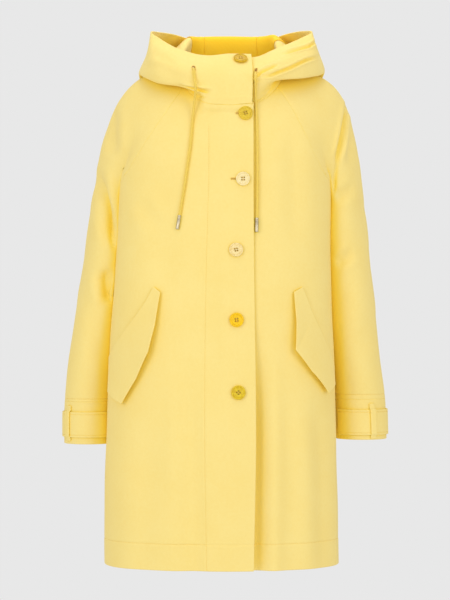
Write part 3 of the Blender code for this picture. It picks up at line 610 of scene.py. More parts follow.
front_folds = {
    RIGHT: (
        ("front", ((-80, -500), (-75, -720), (-70, -1100)), 18, 6.5),
        ("front", ((-150, -620), (-160, -780), (-165, -1050)), 22, 3),
        ("front", ((-120, -160), (-130, -300), (-118, -420)), 24, 2),
        ("front", ((-176, -220), (-158, -260), (-135, -290)), 14, 2.5),
    ),
    LEFT: (
        ("front", ((115, -50), (119, -180), (121, -340)), 17, 2.8),
        ("front", ((48, -440), (50, -740), (46, -1200)), 18, 16),
        ("front", ((160, -580), (174, -720), (180, -1000)), 18, 6.5),
        ("front", ((108, -550), (112, -750), (115, -1050)), 22, 2.5),
    ),
}
for side, word in both_sides:
    levels = panel_levels()
    form = plain = body_point(levels, front_angles(side, levels))
    outward = grid_normals(form, form * (1, 1, 0))
    move = hem_pressing(form)
    if side == RIGHT:
        form = form + outward * (overlap_lift * ease(form[..., 0], overlap_start, overlap_full))[..., None]
        facing = read(facing_rows, form[..., 2])
        low = 1 - ease(form[..., 2], -0.10, -0.07)
        move = move + low * (pressed(plain[..., 0] - facing) + pressed(plain[..., 0] - facing + 0.006))
    made = hung(form, outward, front_folds[side], lap=int(side == RIGHT)) + outward * move[..., None]
    name = "front_panel_" + word
    panel = shell(name, made, outward, joined=("top", "end"))
    lines = [hem_row(name)]
    if side == RIGHT:
        outer, normals = surfaces[name]
        column = len(shares(facing_width, 0.0036)) - 1
        rows = outer[:, column, 2] < -0.085
        lines = [(lines[0][0][column:], lines[0][1][column:])]
        lines.append((outer[rows, column], normals[rows, column]))
    sewn = stitches("front_stitches_" + word, lines)
    sew_on(panel, "front_" + word)


# Raglan sleeves. Each is one tube that starts at the neck seam, between front and back, and hangs
# free of the body below the armpit. A row of stitches runs above the seam of its cuff.
# height, outermost reach, how far back the middle lies, half width, half depth
sleeve_rows = {
    RIGHT: (
        (-0.235, 0.2755, 0.062, 0.050, 0.080),
        (-0.340, 0.2905, 0.062, 0.050, 0.077),
        (-0.460, 0.3083, 0.060, 0.050, 0.071),
        (-0.570, 0.3240, 0.058, 0.050, 0.064),
        (-0.618, 0.3285, 0.056, 0.049, 0.060),
        (-0.701, 0.3290, 0.055, 0.048, 0.056),
    ),
    LEFT: (
        (-0.235, 0.2625, 0.062, 0.050, 0.080),
        (-0.300, 0.2700, 0.062, 0.051, 0.078),
        (-0.430, 0.2835, 0.060, 0.051, 0.071),
        (-0.538, 0.2943, 0.058, 0.051, 0.064),
        (-0.613, 0.3030, 0.056, 0.050, 0.060),
        (-0.692, 0.3070, 0.055, 0.050, 0.056),
    ),
}
cuff_seam = {RIGHT: -0.618, LEFT: -0.613}
cuff_hem = {RIGHT: -0.701, LEFT: -0.692}
shoulder_fullness = {RIGHT: 1.30, LEFT: 1.42}
sleeve_clearance = -0.0006  # from the body; pressed to it, the two naps sink into each other
sleeve_top_turn = np.radians(40)  # of the sleeve, each side of its top, that starts at the neck
seam_steps, neck_steps, smoothing, smoothing_rounds = 56, 28, 7, 40


def sleeve_start(side):
    """The closed seam that a sleeve starts from: up the front, over the neck, down the back.
    Each place has a level and an angle on the body, and the sleeve's own angle there."""
    even = np.linspace(0, 1, seam_steps + 1)
    up = even**1.7
    front, back = raglan_angle(up), raglan_angle(up, back=True)
    neck = np.linspace(0, 1, neck_steps + 1)[1:-1]
    level = np.concatenate([up, np.ones(len(neck)), up[::-1][:-1]])
    angle = np.concatenate([front, front[-1] + (back[-1] - front[-1]) * neck, back[::-1][:-1]])
    down = (np.pi - sleeve_top_turn) * even
    turn = np.concatenate(
        [np.pi - down, sleeve_top_turn * (1 - 2 * neck), -sleeve_top_turn - down[:-1]]
    )
    return level, side * angle, turn


def sleeve_ring(side, height, turn):
    """A point of the sleeve. Turn 0 is its outermost line, pi/2 its front, pi faces the body."""
    reach, back, half, deep = read(sleeve_rows[side][::-1], height)
    return np.stack(
        [side * (reach - half + half * np.cos(turn)), back - deep * np.sin(turn), height + 0 * turn], -1
    )


def out_of_body(points):
    """Where the body's middle lies, how far out of it points are, as shares of the way to its
    surface, and the smaller of its half sizes there."""
    centre, half, front, back = read(body_rows, np.minimum(points[..., 2], armhole_height))
    depth = np.where(points[..., 1] < 0, front, back)
    across, along = (points[..., 0] - centre) / half, points[..., 1] / depth
    full = 1 + squareness * np.sin(2 * np.arctan2(across, along)) ** 2
    return centre, np.hypot(across, along) / full, np.minimum(half, depth)


def clear_of_body(points, clearance):
    """Moves points that are nearer to the body than the clearance, or in it, out to it."""
    points = points.copy()
    centre, share, half = out_of_body(points)
    share = np.where(points[..., 2] < armhole_height + 0.02, np.maximum((1 + clearance / half) / share, 1), 1)
    points[..., 0] = centre + (points[..., 0] - centre) * share
    points[..., 1] = points[..., 1] * share
    return points


def sleeve_waves(points):
    """How much cloth sways: where a sleeve lies against the body, it sways with the body."""
    _, share, half = out_of_body(points)
    beside = (1 - ease((share - 1) * half, 0.003, 0.014)) * (1 - ease(points[..., 2], -0.21, -0.16))
    return 0.0008 * (1 - 2 * beside)


def around_mean(grid, reach):
    """Each place of a closed loop, or of each row of a tube, averaged with its neighbours, twice."""
    for _ in range(2):
        grid = sum(np.roll(grid, k, -2) for k in range(-reach, reach + 1)) / (2 * reach + 1)
    return grid


def sleeve_form(side, rows):
    """The sleeve's grid, row by row from its seam. Rows up to 1 are the shoulder, from 1 to 2 the
    arm, down to the cuff seam."""
    level, angle, turn = sleeve_start(side)
    seam, outward = body_point(level, angle), body_normal(level, angle)
    along = unit(np.roll(seam, -smoothing, 0) - np.roll(seam, smoothing, 0))
    leaving = unit(around_mean(unit(np.cross(outward, along)) * -side, 14))
    first = sleeve_rows[side][0][0]
    ring = clear_of_body(sleeve_ring(side, np.full(turn.shape, first), turn), sleeve_clearance)
    below = clear_of_body(sleeve_ring(side, np.full(turn.shape, first - 0.01), turn), sleeve_clearance)
    reach = np.linalg.norm(ring - seam, axis=-1, keepdims=True)
    full = reach * (1 + (shoulder_fullness[side] - 1) * ease(reach, 0.10, 0.25))
    grid = []
    for row in rows:
        if row <= 1:
            points = bend(seam, leaving * full, ring, unit(below - ring) * full, row)
            if row > 0:
                points = clear_of_body(points, sleeve_clearance * float(ease(row, 0.0, 0.4)))
        else:
            height = np.full(turn.shape, first + (row - 1) * (cuff_seam[side] - first))
            points = clear_of_body(sleeve_ring(side, height, turn), sleeve_clearance)
        grid.append(points)
    grid = np.array(grid)
    inner = ease(np.arange(len(grid)), 2, 14) * ease(np.arange(len(grid))[::-1], 0, 8)
    free = (inner * (1 - 0.93 * ease(np.asarray(rows), 0.9, 1.15)))[:, None, None]
    for _ in range(smoothing_rounds):
        soft = (np.roll(grid, 1, 1) + np.roll(grid, -1, 1)) / 2
        soft[1:-1] = (soft[1:-1] + (grid[2:] + grid[:-2]) / 2) / 2
        grid = grid + (soft - grid) * 0.6 * free
    return grid


cuff_stitch_above = {RIGHT: 0.005, LEFT: 0.009}
sleeve_folds = {
    RIGHT: (
        ("front", ((-270, -155), (-258, -195), (-243, -250), (-229, -325)), 12.5, 16, 0.15),
        ("front", ((-260, -180), (-244, -235), (-231, -285), (-223, -335)), 6, 7),
        ("front", ((-233, -30), (-234, -85), (-228, -150)), 12, 7.5),
        ("front", ((-249, -355), (-239, -392), (-229, -430)), 15, 15, 0.2),
        ("front", ((-275, -420), (-262, -480), (-255, -560)), 16, 2),
        ("right", ((70, -230), (88, -290), (110, -330)), 16, 6.7),
        ("right", ((108, -320), (90, -400), (74, -450)), 16, 6),
        ("right", ((72, -130), (78, -190), (98, -260)), 18, 6),
        ("back", ((-285, -330), (-260, -300), (-225, -250)), 14, 9),
        ("back", ((-240, -60), (-245, -110), (-235, -180)), 16, 7.5),
        ("back", ((-300, -440), (-275, -425), (-240, -390)), 14, 7.5),
    ),
    LEFT: (
        ("front", ((236, -10), (224.5, -62), (212.5, -120), (203, -158)), 5, 12, 0.3),
        ("front", ((211.5, -118), (205.5, -158), (201, -188), (199, -220)), 3.5, 5.5, 0),
        ("front", ((242, -40), (238.5, -95), (229, -170)), 8.5, 6, 0.1),
        ("front", ((245, -196), (220, -213), (200, -222)), 10, 5.5),
        ("front", ((242, -322), (218, -341), (200, -350)), 10, 5.5),
        ("front", ((262, -200), (252, -290), (244, -370)), 20, 2),
        ("front", ((275, -430), (262, -490), (252, -540)), 16, 1.8),
        ("left", ((70, -220), (90, -280), (112, -310)), 16, 6.7),
        ("left", ((108, -350), (90, -420), (74, -470)), 16, 6),
        ("left", ((72, -120), (78, -180), (98, -240)), 18, 6),
        ("back", ((270, -310), (245, -280), (215, -235)), 14, 9),
        ("back", ((225, -55), (230, -110), (222, -175)), 16, 7.5),
        ("back", ((280, -450), (255, -430), (225, -400)), 14, 7.5),
    ),
}
for side, word in both_sides:
    arm_length = sleeve_rows[side][0][0] - cuff_seam[side]
    above = cuff_stitch_above[side]
    arm = shares(arm_length, 0.0048, (arm_length - above,))
    rows = np.concatenate([shares(0.30, 0.0045)[:-edge_rows], [1.0], 1 + arm[edge_rows:]])
    form = sleeve_form(side, rows)
    outward = grid_normals(form, form - form.mean(1, keepdims=True), True)
    made = hung(form, outward, sleeve_folds[side], sleeve_waves(form))
    made += outward * pressed(form[..., 2] - cuff_seam[side] - above)[..., None]
    name = "raglan_sleeve_" + word
    sleeve = shell(name, made, outward, closed=True, joined=("bottom", "top"))
    outer, normals = surfaces[name]
    row = np.abs(rows - 2 + above / arm_length).argmin()
    line = np.append(np.arange(outer.shape[1]), 0)
    sewn = stitches("sleeve_stitches_" + word, [(outer[row][line], normals[row][line])])
    under = ["back", "front_" + word]
    sew_on(sleeve, "sleeve_" + word)


# Cuffs. Each is a turned-up band of the same wool below the sleeve, with a buckle-less strap of
# doubled wool round it and one narrow loop that holds the strap.
strap_top, strap_tall, strap_turn = 0.020, 0.050, np.radians(150)
strap_stitch = 0.004  # from the edge of the strap to its stitches
loop_top, loop_tall, loop_wide, loop_step = 0.008, 0.069, 0.011, 0.0015
loop_turn = {RIGHT: np.radians(42), LEFT: np.radians(66)}
layer_gap = 0.0006


def cuff_form(side, heights, turns, out=0.0):
    """Points round the cuff, moved out from the sleeve's own form."""
    heights, turns = np.meshgrid(heights, turns, indexing="ij")
    points = clear_of_body(sleeve_ring(side, heights, turns), sleeve_clearance)
    ahead = clear_of_body(sleeve_ring(side, heights, turns + 0.01), sleeve_clearance)
    outward = unit(np.cross(ahead - points, np.array((0, 0, 1.0)))) * -side
    return points + outward * np.asarray(out)[..., None], outward


def inset_line(name, edge, inset):
    """A line that keeps the same distance from one edge of a piece."""
    outer, normals = surfaces[name]
    if edge in ("start", "end"):
        outer, normals = np.swapaxes(outer, 0, 1), np.swapaxes(normals, 0, 1)
    if edge in ("top", "end"):
        outer, normals = outer[::-1], normals[::-1]
    run = np.cumsum(np.linalg.norm(np.diff(outer, axis=0), axis=-1), 0)
    row = np.minimum((run < inset).sum(0), len(run) - 1)
    column = np.arange(outer.shape[1])
    before = np.where(row > 0, run[np.maximum(row - 1, 0), column], 0)
    share = ((inset - before) / (run[row, column] - before))[:, None]
    points = outer[row, column] * (1 - share) + outer[row + 1, column] * share
    return points, normals[row, column]


for side, word in both_sides:
    seam, hem = cuff_seam[side], cuff_hem[side]
    turns = sleeve_start(side)[2]
    form, outward = cuff_form(side, seam + (hem - seam) * shares(seam - hem, 0.0045), turns)
    made = hung(form, outward, (), sleeve_waves(form))
    cuff = shell("cuff_band_" + word, made, outward, closed=True, joined=("bottom",))
    sew_on(cuff, "cuff_" + word)

    strap_out = 2 * layer_gap + wool_thickness
    top = seam - strap_top
    heights = top - strap_tall * shares(strap_tall, 0.0045, (strap_stitch, strap_tall - strap_stitch))
    turns = strap_turn * (1 - 2 * shares(0.30, 0.0045))
    form, outward = cuff_form(side, heights, turns, strap_out)
    groove = pressed(heights - top + strap_stitch, 0.0003, 0.0009)
    groove += pressed(heights - top + strap_tall - strap_stitch, 0.0003, 0.0009)
    name = "cuff_band_strap_" + word
    made = hung(form, outward, (), sleeve_waves(form)) + outward * groove[:, None, None]
    strap = shell(name, made, outward)
    lines = [inset_line(name, edge, strap_stitch) for edge in ("bottom", "top")]
    sewn = stitches("strap_stitches_" + word, lines)
    sew_on(strap, "cuff_strap_" + word)

    loop_heights = (seam - loop_top) - loop_tall * shares(loop_tall, 0.0022)
    over, under = top + layer_gap, top - strap_tall - layer_gap
    low, high = layer_gap + wool_thickness, strap_out + layer_gap + wool_thickness
    inside = within(loop_heights, under - loop_step, under, over, over + loop_step)
    half_turn = loop_wide / 2 / sleeve_rows[side][-1][3]
    turns = loop_turn[side] + half_turn * (1 - 2 * shares(loop_wide, 0.0020))
    out = (low + (high - low) * inside)[:, None]
    form, outward = cuff_form(side, loop_heights, turns, out)
    loop = shell("cuff_band_loop_" + word, hung(form, outward), outward)
    sew_on(loop, "cuff_loop_" + word)


# Hood. Two sides and a middle strip of the same wool, folded down: the cloth rises from the neck
# seam to a ridge, turns down to a fold that rests on the shoulders, and comes up to its rim.
# angle | ridge: out, back, up | fold: the same | belly: the same | rim: the same, all in mm
hood_back_rows = (
    (150, 48, 92, 101, 74, 176, -130, 74, 190, -25, 66, 116, 98),
    (180, 0, 97, 102, 0, 178, -150, 0, 200, -45, 0, 138, 85),
    (210, -48, 92, 101, -74, 176, -130, -74, 190, -25, -66, 116, 98),
)
hood_rows = {
    RIGHT: (
        (-24, -40, -101, -44, -40, -103, -34, -41, -93, 12, -39, -55, 54.5),
        (0, 0, -103, -45, 0, -105, -34, 0, -95, 14, 0, -58, 54.5),
        (30, 50, -95, -36, 51, -103, -26, 53, -101, 15, 50, -57, 52),
        (45, 72, -74, -16, 72, -99, -19, 78, -100, 20, 78, -48, 58),
        (60, 90, -46, 18, 100, -83, -10, 112, -83, 32, 115, -30, 74.5),
        (75, 97, -18, 45, 138, -60, -2, 148, -53, 43, 141, -12, 92),
        (90, 97, 14, 66, 166, -20, 13, 163, -14, 52, 157, 3, 104.5),
        (105, 93, 40, 80, 177, 36, 21, 166, 46, 60, 141, 35, 108),
        (120, 84, 64, 98, 168, 110, -12, 155, 112, 45, 121, 60, 108),
        (135, 68, 82, 100, 128, 160, -80, 122, 160, 10, 101, 88, 106),
        *hood_back_rows,
    ),
    LEFT: (
        (-8, -12, -98, -42, -12, -99, -30, -12, -88, 12, -12, -52, 48),
        (10, 18, -98, -40, 19, -100, -26, 20, -89, 14, 20, -52, 49),
        (27, 46, -91, -35, 50, -98, -3, 52, -85, 26, 50, -50, 51),
        (45, 73, -72, -12, 76, -96, 0, 80, -92, 32, 80, -47, 64),
        (60, 90, -44, 20, 102, -80, 3, 112, -80, 40, 112, -27, 79),
        (75, 97, -18, 45, 138, -58, 7, 147, -52, 48, 138, -8, 92.5),
        (90, 97, 14, 66, 167, -20, 15, 169, -14, 56, 159, 4, 105),
        (105, 94, 40, 86, 178, 36, 24, 171, 44, 64, 140, 36, 110),
        (120, 86, 64, 101, 165, 110, -10, 152, 112, 45, 116, 64, 109),
        (135, 68, 82, 101, 128, 160, -80, 122, 160, 10, 97, 90, 106),
        *hood_back_rows,
    ),
}
back_turn = np.radians(121)  # where the raglan seam of the back meets the neck seam
strip_turn = np.radians(150.5)  # where a side of the hood meets the middle strip


def hood_point(side, turn, around):
    """A point of the hood: around 0 is the neck seam, 1 the ridge, 2 the fold, 3 the belly, 4 the
    rim. Turn is measured from the front centre towards this side's own shoulder."""
    turn, around = np.broadcast_arrays(np.asarray(turn, float), np.asarray(around, float))
    seam, _ = neck_point(turn)
    table = np.array(hood_rows[side])
    rows = through(table[:, 0], table[:, 1:] / 1000, np.degrees(turn)).reshape(*turn.shape, 4, 3)
    stations = np.concatenate([seam[..., None, :], rows], -2)
    slopes = np.gradient(stations, axis=-2)
    slopes[..., 1, 2] *= 1 - ease(turn, np.radians(90), np.radians(120))
    slopes[..., 2, 2] *= 1 - ease(turn, np.radians(90), np.radians(135))
    first = np.clip(around.astype(int), 0, 3)
    pick = first[..., None, None]
    start, end = (np.take_along_axis(stations, pick + k, -2)[..., 0, :] for k in (0, 1))
    leave, arrive = (np.take_along_axis(slopes, pick + k, -2)[..., 0, :] for k in (0, 1))
    point = bend(start, leave, end, arrive, (around - first)[..., None])
    if side == RIGHT:
        lift = overlap_lift * (1 - 0.5 * ease(around, 3, 4)) * (np.cos(turn) > 0)
        lift = lift * ease(-point[..., 0], overlap_start, overlap_full)
        point = point + body_normal(1, turn) * lift[..., None]
    return point * np.array((side, 1.0, 1.0))


def hood_normals(grid, around):
    """Directions out of the hood's outside, which faces out all along the rim."""
    return grid_normals(grid, grid * (1, 1, 0) * (around > 3)[..., None])


# Rows from the seam up to the ridge, down to the fold, up to the belly, and on to the rim.
hood_around = [shares(0.09, 0.0045)[:-edge_rows], np.linspace(1, 2, 32), np.linspace(2, 3, 46)[1:]]
hood_around = np.concatenate([*hood_around, 3 + shares(0.12, 0.0023)[edge_rows:]])[:, None]
# look, path of (across, height), half width, depth, all in mm, and the share of the swells
hood_folds = {
    RIGHT: (
        ("front", ((-166, 62), (-140, 50), (-105, 30), (-70, 18)), 9, 3),
        ("front", ((-172, 35), (-140, 30), (-110, 12), (-75, 3)), 8, 2),
        ("front", ((-120, 75), (-98, 50), (-80, 30)), 8, 2),
        ("front", ((-104, -11), (-82, -16.5), (-62, -21.5), (-36, -26)), 4.2, 13, 0.6),
    ),
    LEFT: (
        ("front", ((178, 94), (152, 73), (125, 63), (90, 50)), 2.7, 4.2, 0.5),
        ("front", ((180, 58), (142, 41), (113, 25), (78, 10), (50, 1)), 2.7, 4.6, 0.5),
        ("front", ((95, 34), (74, 23), (59, 16), (42, 3)), 2.6, 4, 0.5),
        ("front", ((100, 52), (74, 38), (50, 26)), 5.5, 2.4),
        ("front", ((165, 3), (115, -4), (80, -5.5), (43, -6), (6, -6)), 3.6, 13.5, 0.35),
    ),
}
for side, word in both_sides:
    front = front_angles(side, np.array(((1.0,),)))[0, 0] * side
    turns = front + (strip_turn - front) * shares(0.50, 0.0032)
    form = hood_point(side, turns, hood_around)
    outward = hood_normals(form, hood_around + 0 * turns)
    outside = ease(hood_around, 2.0, 2.3)[..., None]
    inner = hung(form, outward, lap=-int(side == RIGHT))
    made = hung(form, outward, hood_folds[side]) * outside + inner * (1 - outside)
    piece = shell("hood_panel_" + word, made, outward, joined=("bottom", "end"))
    sew_on(piece, "hood_side_" + word)

turns = strip_turn + (np.pi - strip_turn) * np.concatenate([shares(0.11, 0.0042)[:-edge_rows], [1.0]])
right, left = (hood_point(side, turns, hood_around) for side in (RIGHT, LEFT))
form = np.concatenate([right, left[:, ::-1][:, 1:]], axis=1)
outward = hood_normals(form, hood_around + np.zeros(form.shape[1]))
strip = shell("hood_panel_center", hung(form, outward), outward, joined=("bottom", "start", "end"))
sew_on(strip, "hood_center")


# Hood lining. A smooth, closely woven satin in a deeper golden yellow, seamed in line with the
# hood's middle strip. Only the part of it that shows inside the back of the neck is there.
lining_thickness = 0.0010
lining_end = np.radians(-13)  # how much further forward it reaches on the wearer's left
# Satin is smooth and softly glossy. Its floats are really 0.1 mm wide; they are drawn 0.8 mm apart
# so that they show.
satin, tree, place = new_material("satin lining, golden yellow")
floats = {"Vector": place, "Scale": 1 / 0.0008 / 20, "Distortion": 1.5, "Detail": 2.0}
floats = node(tree, "TexWave", floats, bands_direction="DIAGONAL").outputs["Fac"]
weave = node(tree, "Mix", {0: floats, 6: linear("#FFCC28"), 7: linear("#FFCE2B")}, data_type="RGBA")
ribs = node(tree, "Bump", {"Height": floats, "Strength": 0.15, "Distance": 0.0001})
satin_finish = {
    "Base Color": weave.outputs[2],
    "Normal": ribs.outputs[0],
    "Roughness": 0.5,
    "Specular IOR Level": 0.15,
    "Sheen Weight": 0.05,
}
set_shader(tree, satin_finish)

lining_around = 0.08 + (4 / 3 - 0.08) * shares(0.17, 0.004)[:, None]
lining_width, lining_seams = 0.29, (0.054, 0.206)
across = shares(lining_width, 0.004, lining_seams)
turns = back_turn + (2 * np.pi - back_turn - lining_end - back_turn) * across
right = hood_point(RIGHT, turns[turns <= np.pi], lining_around)
left = hood_point(LEFT, 2 * np.pi - turns[turns > np.pi], lining_around)
form = np.concatenate([right, left], axis=1)
outward = grid_normals(form, form * (1, 1, 0) * (lining_around < 0.8)[..., None])
form = form - outward * (wool_thickness + layer_gap)
grooves = sum(pressed(across * lining_width - seam, 0.0010, 0.0016) for seam in lining_seams)
made = hung(form, outward) + outward * -grooves[:, None]
lining = shell("hood_inner_lining", made, outward, lining_thickness, satin)
sew_on(lining, "hood_lining")


# Pocket flaps. Each is two layers of wool, turned and pressed, sewn into a slanting seam of the
# front along its outer edge; its free edge stands a little off the coat.
# angle and height on the seam line, angle and height on the free edge, how far that lifts
flap_rows = {
    RIGHT: (
        (36.0, -0.394, 31.7, -0.404, 0.003),
        (41.0, -0.425, 33.5, -0.470, 0.010),
        (47.5, -0.452, 36.0, -0.518, 0.014),
        (56.0, -0.480, 43.0, -0.570, 0.010),
        (67.0, -0.508, 52.5, -0.618, 0.008),
        (78.0, -0.530, 71.0, -0.597, 0.004),
    ),
    LEFT: (
        (43.0, -0.394, 37.0, -0.404, 0.003),
        (46.5, -0.420, 37.5, -0.462, 0.010),
        (50.0, -0.445, 36.5, -0.515, 0.014),
        (56.0, -0.475, 46.0, -0.555, 0.010),
        (66.0, -0.515, 59.5, -0.597, 0.008),
        (76.0, -0.548, 72.0, -0.583, 0.004),
    ),
}
flap_thickness, flap_gap = 0.0030, 0.0010
flap_long, flap_wide = 0.30, 0.075  # roughly, to space its rows and columns
for side, word in both_sides:
    table = np.array(flap_rows[side])
    corners = np.arange(len(table))
    at = corners[-1] * shares(flap_long, 0.0036, flap_long * corners[1:-1] / corners[-1])
    rows = through(corners, table, at)
    rows[:, 2:4] = np.stack([np.interp(at, corners, table[:, k]) for k in (2, 3)], -1)
    seam_angle, seam_height, free_angle, free_height, lift = rows.T[:, :, None]
    across = shares(flap_wide, 0.0030)
    angle = np.radians(side * (seam_angle + (free_angle - seam_angle) * across))
    height = seam_height + (free_height - seam_height) * across
    level = (height - hem_height) / (armhole_height - hem_height) - 1
    outward = body_normal(level, angle)
    form = body_point(level, angle)
    out = flap_thickness + flap_gap + lift * across**1.5
    made = form + outward * out[..., None]
    name = "pocket_cover_" + word
    piece = shell(name, hung(made, outward), outward, flap_thickness)
    sew_on(piece, "pocket_flap_" + word)


# Buttons. Six four-hole buttons turned from a mottled, horn-like polyester resin and polished, each
# with a raised rim, a fine groove inside it and a shallow dish, sewn on with two pairs of threads.
# distance from the middle, height, in mm
button_profile = np.array((
    (10.6, 0.0),
    (12.4, 0.5),
    (13.3, 1.5),
    (13.5, 2.3),
    (13.25, 3.1),
    (12.6, 3.75),
    (11.9, 4.0),
    (11.2, 3.85),
    (10.75, 3.4),
    (10.5, 3.02),
    (10.25, 2.95),
    (10.0, 3.1),
    (9.6, 3.4),
    (9.0, 3.5),
    (8.0, 3.38),
    (6.6, 3.12),
    (5.4, 3.02),
))
button_sides, hole_radius, hole_out, hole_sides = 72, 0.0016, 0.0030, 20
button_gap = 0.0012  # between the cloth and the back of a button
# the cloth piece, across, height, turned by degrees, light and dark of the mottled resin. The
# colours differ from button to button by painted light: pale on 3 and 4, a painted reflection, and
# deeper gold or olive on the others, painted shade.
buttons = (
    ("hood_panel_right", 0.0180, 0.0420, 0, "#DAB410", "#C09008"),
    ("front_panel_right", 0.0272, -0.0640, 22, "#E8C83C", "#D2AE24"),
    ("front_panel_right", 0.0224, -0.1896, 2, "#F8E6B0", "#ECD48C"),
    ("front_panel_right", 0.0091, -0.3243, 12, "#F8E2A4", "#E8CA7C"),
    ("front_panel_right", 0.0101, -0.4569, 8, "#FFD000", "#EAB800"),
    ("front_panel_right", 0.0135, -0.5940, 42, "#E8CA22", "#D0AA12"),
)


def on_cloth(names, across, height):
    """The place on the front of the finished cloth at that place in the front view, and the
    direction out of the cloth there."""
    points = np.concatenate([surfaces[name][0].reshape(-1, 3) for name in names])
    normals = np.concatenate([surfaces[name][1].reshape(-1, 3) for name in names])
    off = np.hypot(points[:, 0] - across, points[:, 2] - height)
    near = np.flatnonzero((off < max(0.005, off.min() + 0.002)) & (normals[:, 1] < -0.1))
    best = near[points[near, 1].argmin()]
    near = near[points[near, 1] < points[best, 1] + 0.004]
    best = near[off[near].argmin()]
    point, normal = points[best], normals[best]
    gap = np.array((across, 0.0, height)) - point * (1, 0, 1)
    return np.array((across, point[1] - (normal * gap).sum() / normal[1], height)), normal


def axes_on(normal):
    """Level and upward directions in the plane of the cloth."""
    level = unit(np.cross(np.array((0.0, 0.0, 1.0)), normal))
    return level, np.cross(normal, level)


def tube(path, radii, sides):
    """Points and faces of a round rod along a path; its radius changes from row to row."""
    path = np.asarray(path, float)
    radii = np.broadcast_to(np.asarray(radii, float).reshape(-1, 1), (len(path), sides))
    ways = unit(np.gradient(path, axis=0))
    side = unit(np.cross(ways[0], (0.31, 0.95, 0.12)))
    frames = []
    for way in ways:
        side = unit(side - way * (side @ way))
        frames.append((side, np.cross(way, side)))
    turn = np.arange(sides) * 2 * np.pi / sides
    frames = np.array(frames)
    ring = frames[:, :1] * np.cos(turn)[:, None] + frames[:, 1:] * np.sin(turn)[:, None]
    points = (path[:, None] + ring * radii[..., None]).reshape(-1, 3)
    return points, rod_faces(len(path), sides)


def join(parts):
    """Several sets of points and faces as one."""
    points, faces, count = [], [], 0
    for some, these in parts:
        points.append(some)
        faces += [[i + count for i in face] for face in these]
        count += len(some)
    return np.concatenate(points), faces


def horn_resin(name, light, dark):
    """Cast polyester resin made to look like horn: soft cloudy streaks about 3 mm across, with a
    polished, slightly waxy surface that hand wear has made uneven at 0.8 mm."""
    made, tree, place = new_material(name)
    cloud = node(tree, "TexNoise", {"Vector": place, "Scale": 1 / 0.003, "Detail": 4.0, "Distortion": 1.2})
    share = node(tree, "MapRange", {"Value": cloud.outputs[0], "From Min": 0.38, "From Max": 0.62})
    tint = node(tree, "Mix", {0: share.outputs[0], 6: linear(dark), 7: linear(light)}, data_type="RGBA")
    polish = node(tree, "TexNoise", {"Vector": place, "Scale": 1 / 0.0008, "Detail": 2.0})
    rough = node(tree, "MapRange", {"Value": polish.outputs[0], "To Min": 0.34, "To Max": 0.46}).outputs[0]
    finish = {"Base Color": tint.outputs[2], "Roughness": rough, "IOR": 1.54, "Specular IOR Level": 0.3}
    set_shader(tree, finish)
    return made


rods = []
for quarter in np.radians((45, 135, 225, 315)):
    foot = np.array((np.cos(quarter), np.sin(quarter), 0)) * hole_out
    rods.append(tube((foot - (0, 0, 0.002), foot + (0, 0, 0.006)), hole_radius, hole_sides))
cutter = add_mesh("hole cutter", *join(rods))
turn = np.arange(button_sides) * 2 * np.pi / button_sides
rings, heights = button_profile.T[:, :, None] / 1000
blank = np.stack([rings * np.cos(turn), rings * np.sin(turn), heights + 0 * turn], -1).reshape(-1, 3)
drilled = add_mesh("button blank", blank, rod_faces(len(button_profile), button_sides))
cut = drilled.modifiers.new("holes", "BOOLEAN")
cut.operation, cut.solver, cut.object = "DIFFERENCE", "EXACT", cutter
turned = bpy.data.meshes.new_from_object(drilled.evaluated_get(bpy.context.evaluated_depsgraph_get()))
turned.shade_smooth()
turned.set_sharp_from_angle(angle=np.radians(42))
bpy.data.objects.remove(drilled)
bpy.data.objects.remove(cutter)

# The threads between the holes: share of the way from hole to hole, height above the dish
thread_arc = ((-1.05, -0.0018), (-1.0, -0.0005), (-0.8, 0.0002), (0, 0.0003))
thread_arc += tuple((-share, rise) for share, rise in thread_arc[2::-1])
thread_out, dish_height, thread_apart, thread_radius = 0.0021, 0.0030, 0.0005, 0.00022
for number, (cloth, across, height, spin, light, dark) in enumerate(buttons, 1):
    base, normal = on_cloth([cloth], across, height)
    level, up = axes_on(normal)
    spin = np.radians(spin)
    level, up = level * np.cos(spin) + up * np.sin(spin), up * np.cos(spin) - level * np.sin(spin)
    base, axes = base + normal * button_gap, np.array((level, up, normal))
    mesh = turned.copy()
    mesh.name = f"resin_button_{number}"
    spots = np.empty(len(mesh.vertices) * 3)
    mesh.vertices.foreach_get("co", spots)
    spots = base + spots.reshape(-1, 3) @ axes
    mesh.vertices.foreach_set("co", spots.ravel())
    # Each button gets its own copy of the resin, its colours shifted by painted light.
    mesh.materials.append(horn_resin(f"mottled resin with painted light {number}", light, dark))
    fasten(add_object(mesh.name, mesh), f"button_{number}")

    strands = []
    for row in (-1, 1):
        for k in (-0.5, 0.5):
            shift = row * thread_out + k * thread_apart
            arc = [(share * thread_out, shift, dish_height + rise) for share, rise in thread_arc]
            strands.append(tube(base + np.array(arc) @ axes, thread_radius, 6))
    fasten(add_mesh(f"button_threads_{number}", *join(strands), thread))


# Buttonholes and eyelets. Each is a slit whose two edges are worked over with close stitches; a
# dark sheet in the slit is painted shade. The drawstring comes out of the hood by the two eyelets.
twist_radius = 0.00036  # of the buttonhole thread, which is thicker than that on the buttons
hole_wide, hole_bite = 0.0007, 0.0016  # of a buttonhole's slit, and how far its stitches reach
# Painted shade deep in a slit: a matt, dark sheet with a grain drawn 0.5 mm apart.
shade, tree, place = new_material("painted shade deep in the slit")
grain = node(tree, "TexNoise", {"Vector": place, "Scale": 1 / 0.0005, "Detail": 2.0})
tint = {0: grain.outputs[0], 6: linear("#6E4410"), 7: linear("#A8701C")}
tint = node(tree, "Mix", tint, data_type="RGBA").outputs[2]
set_shader(tree, {"Base Color": tint, "Roughness": 0.95})


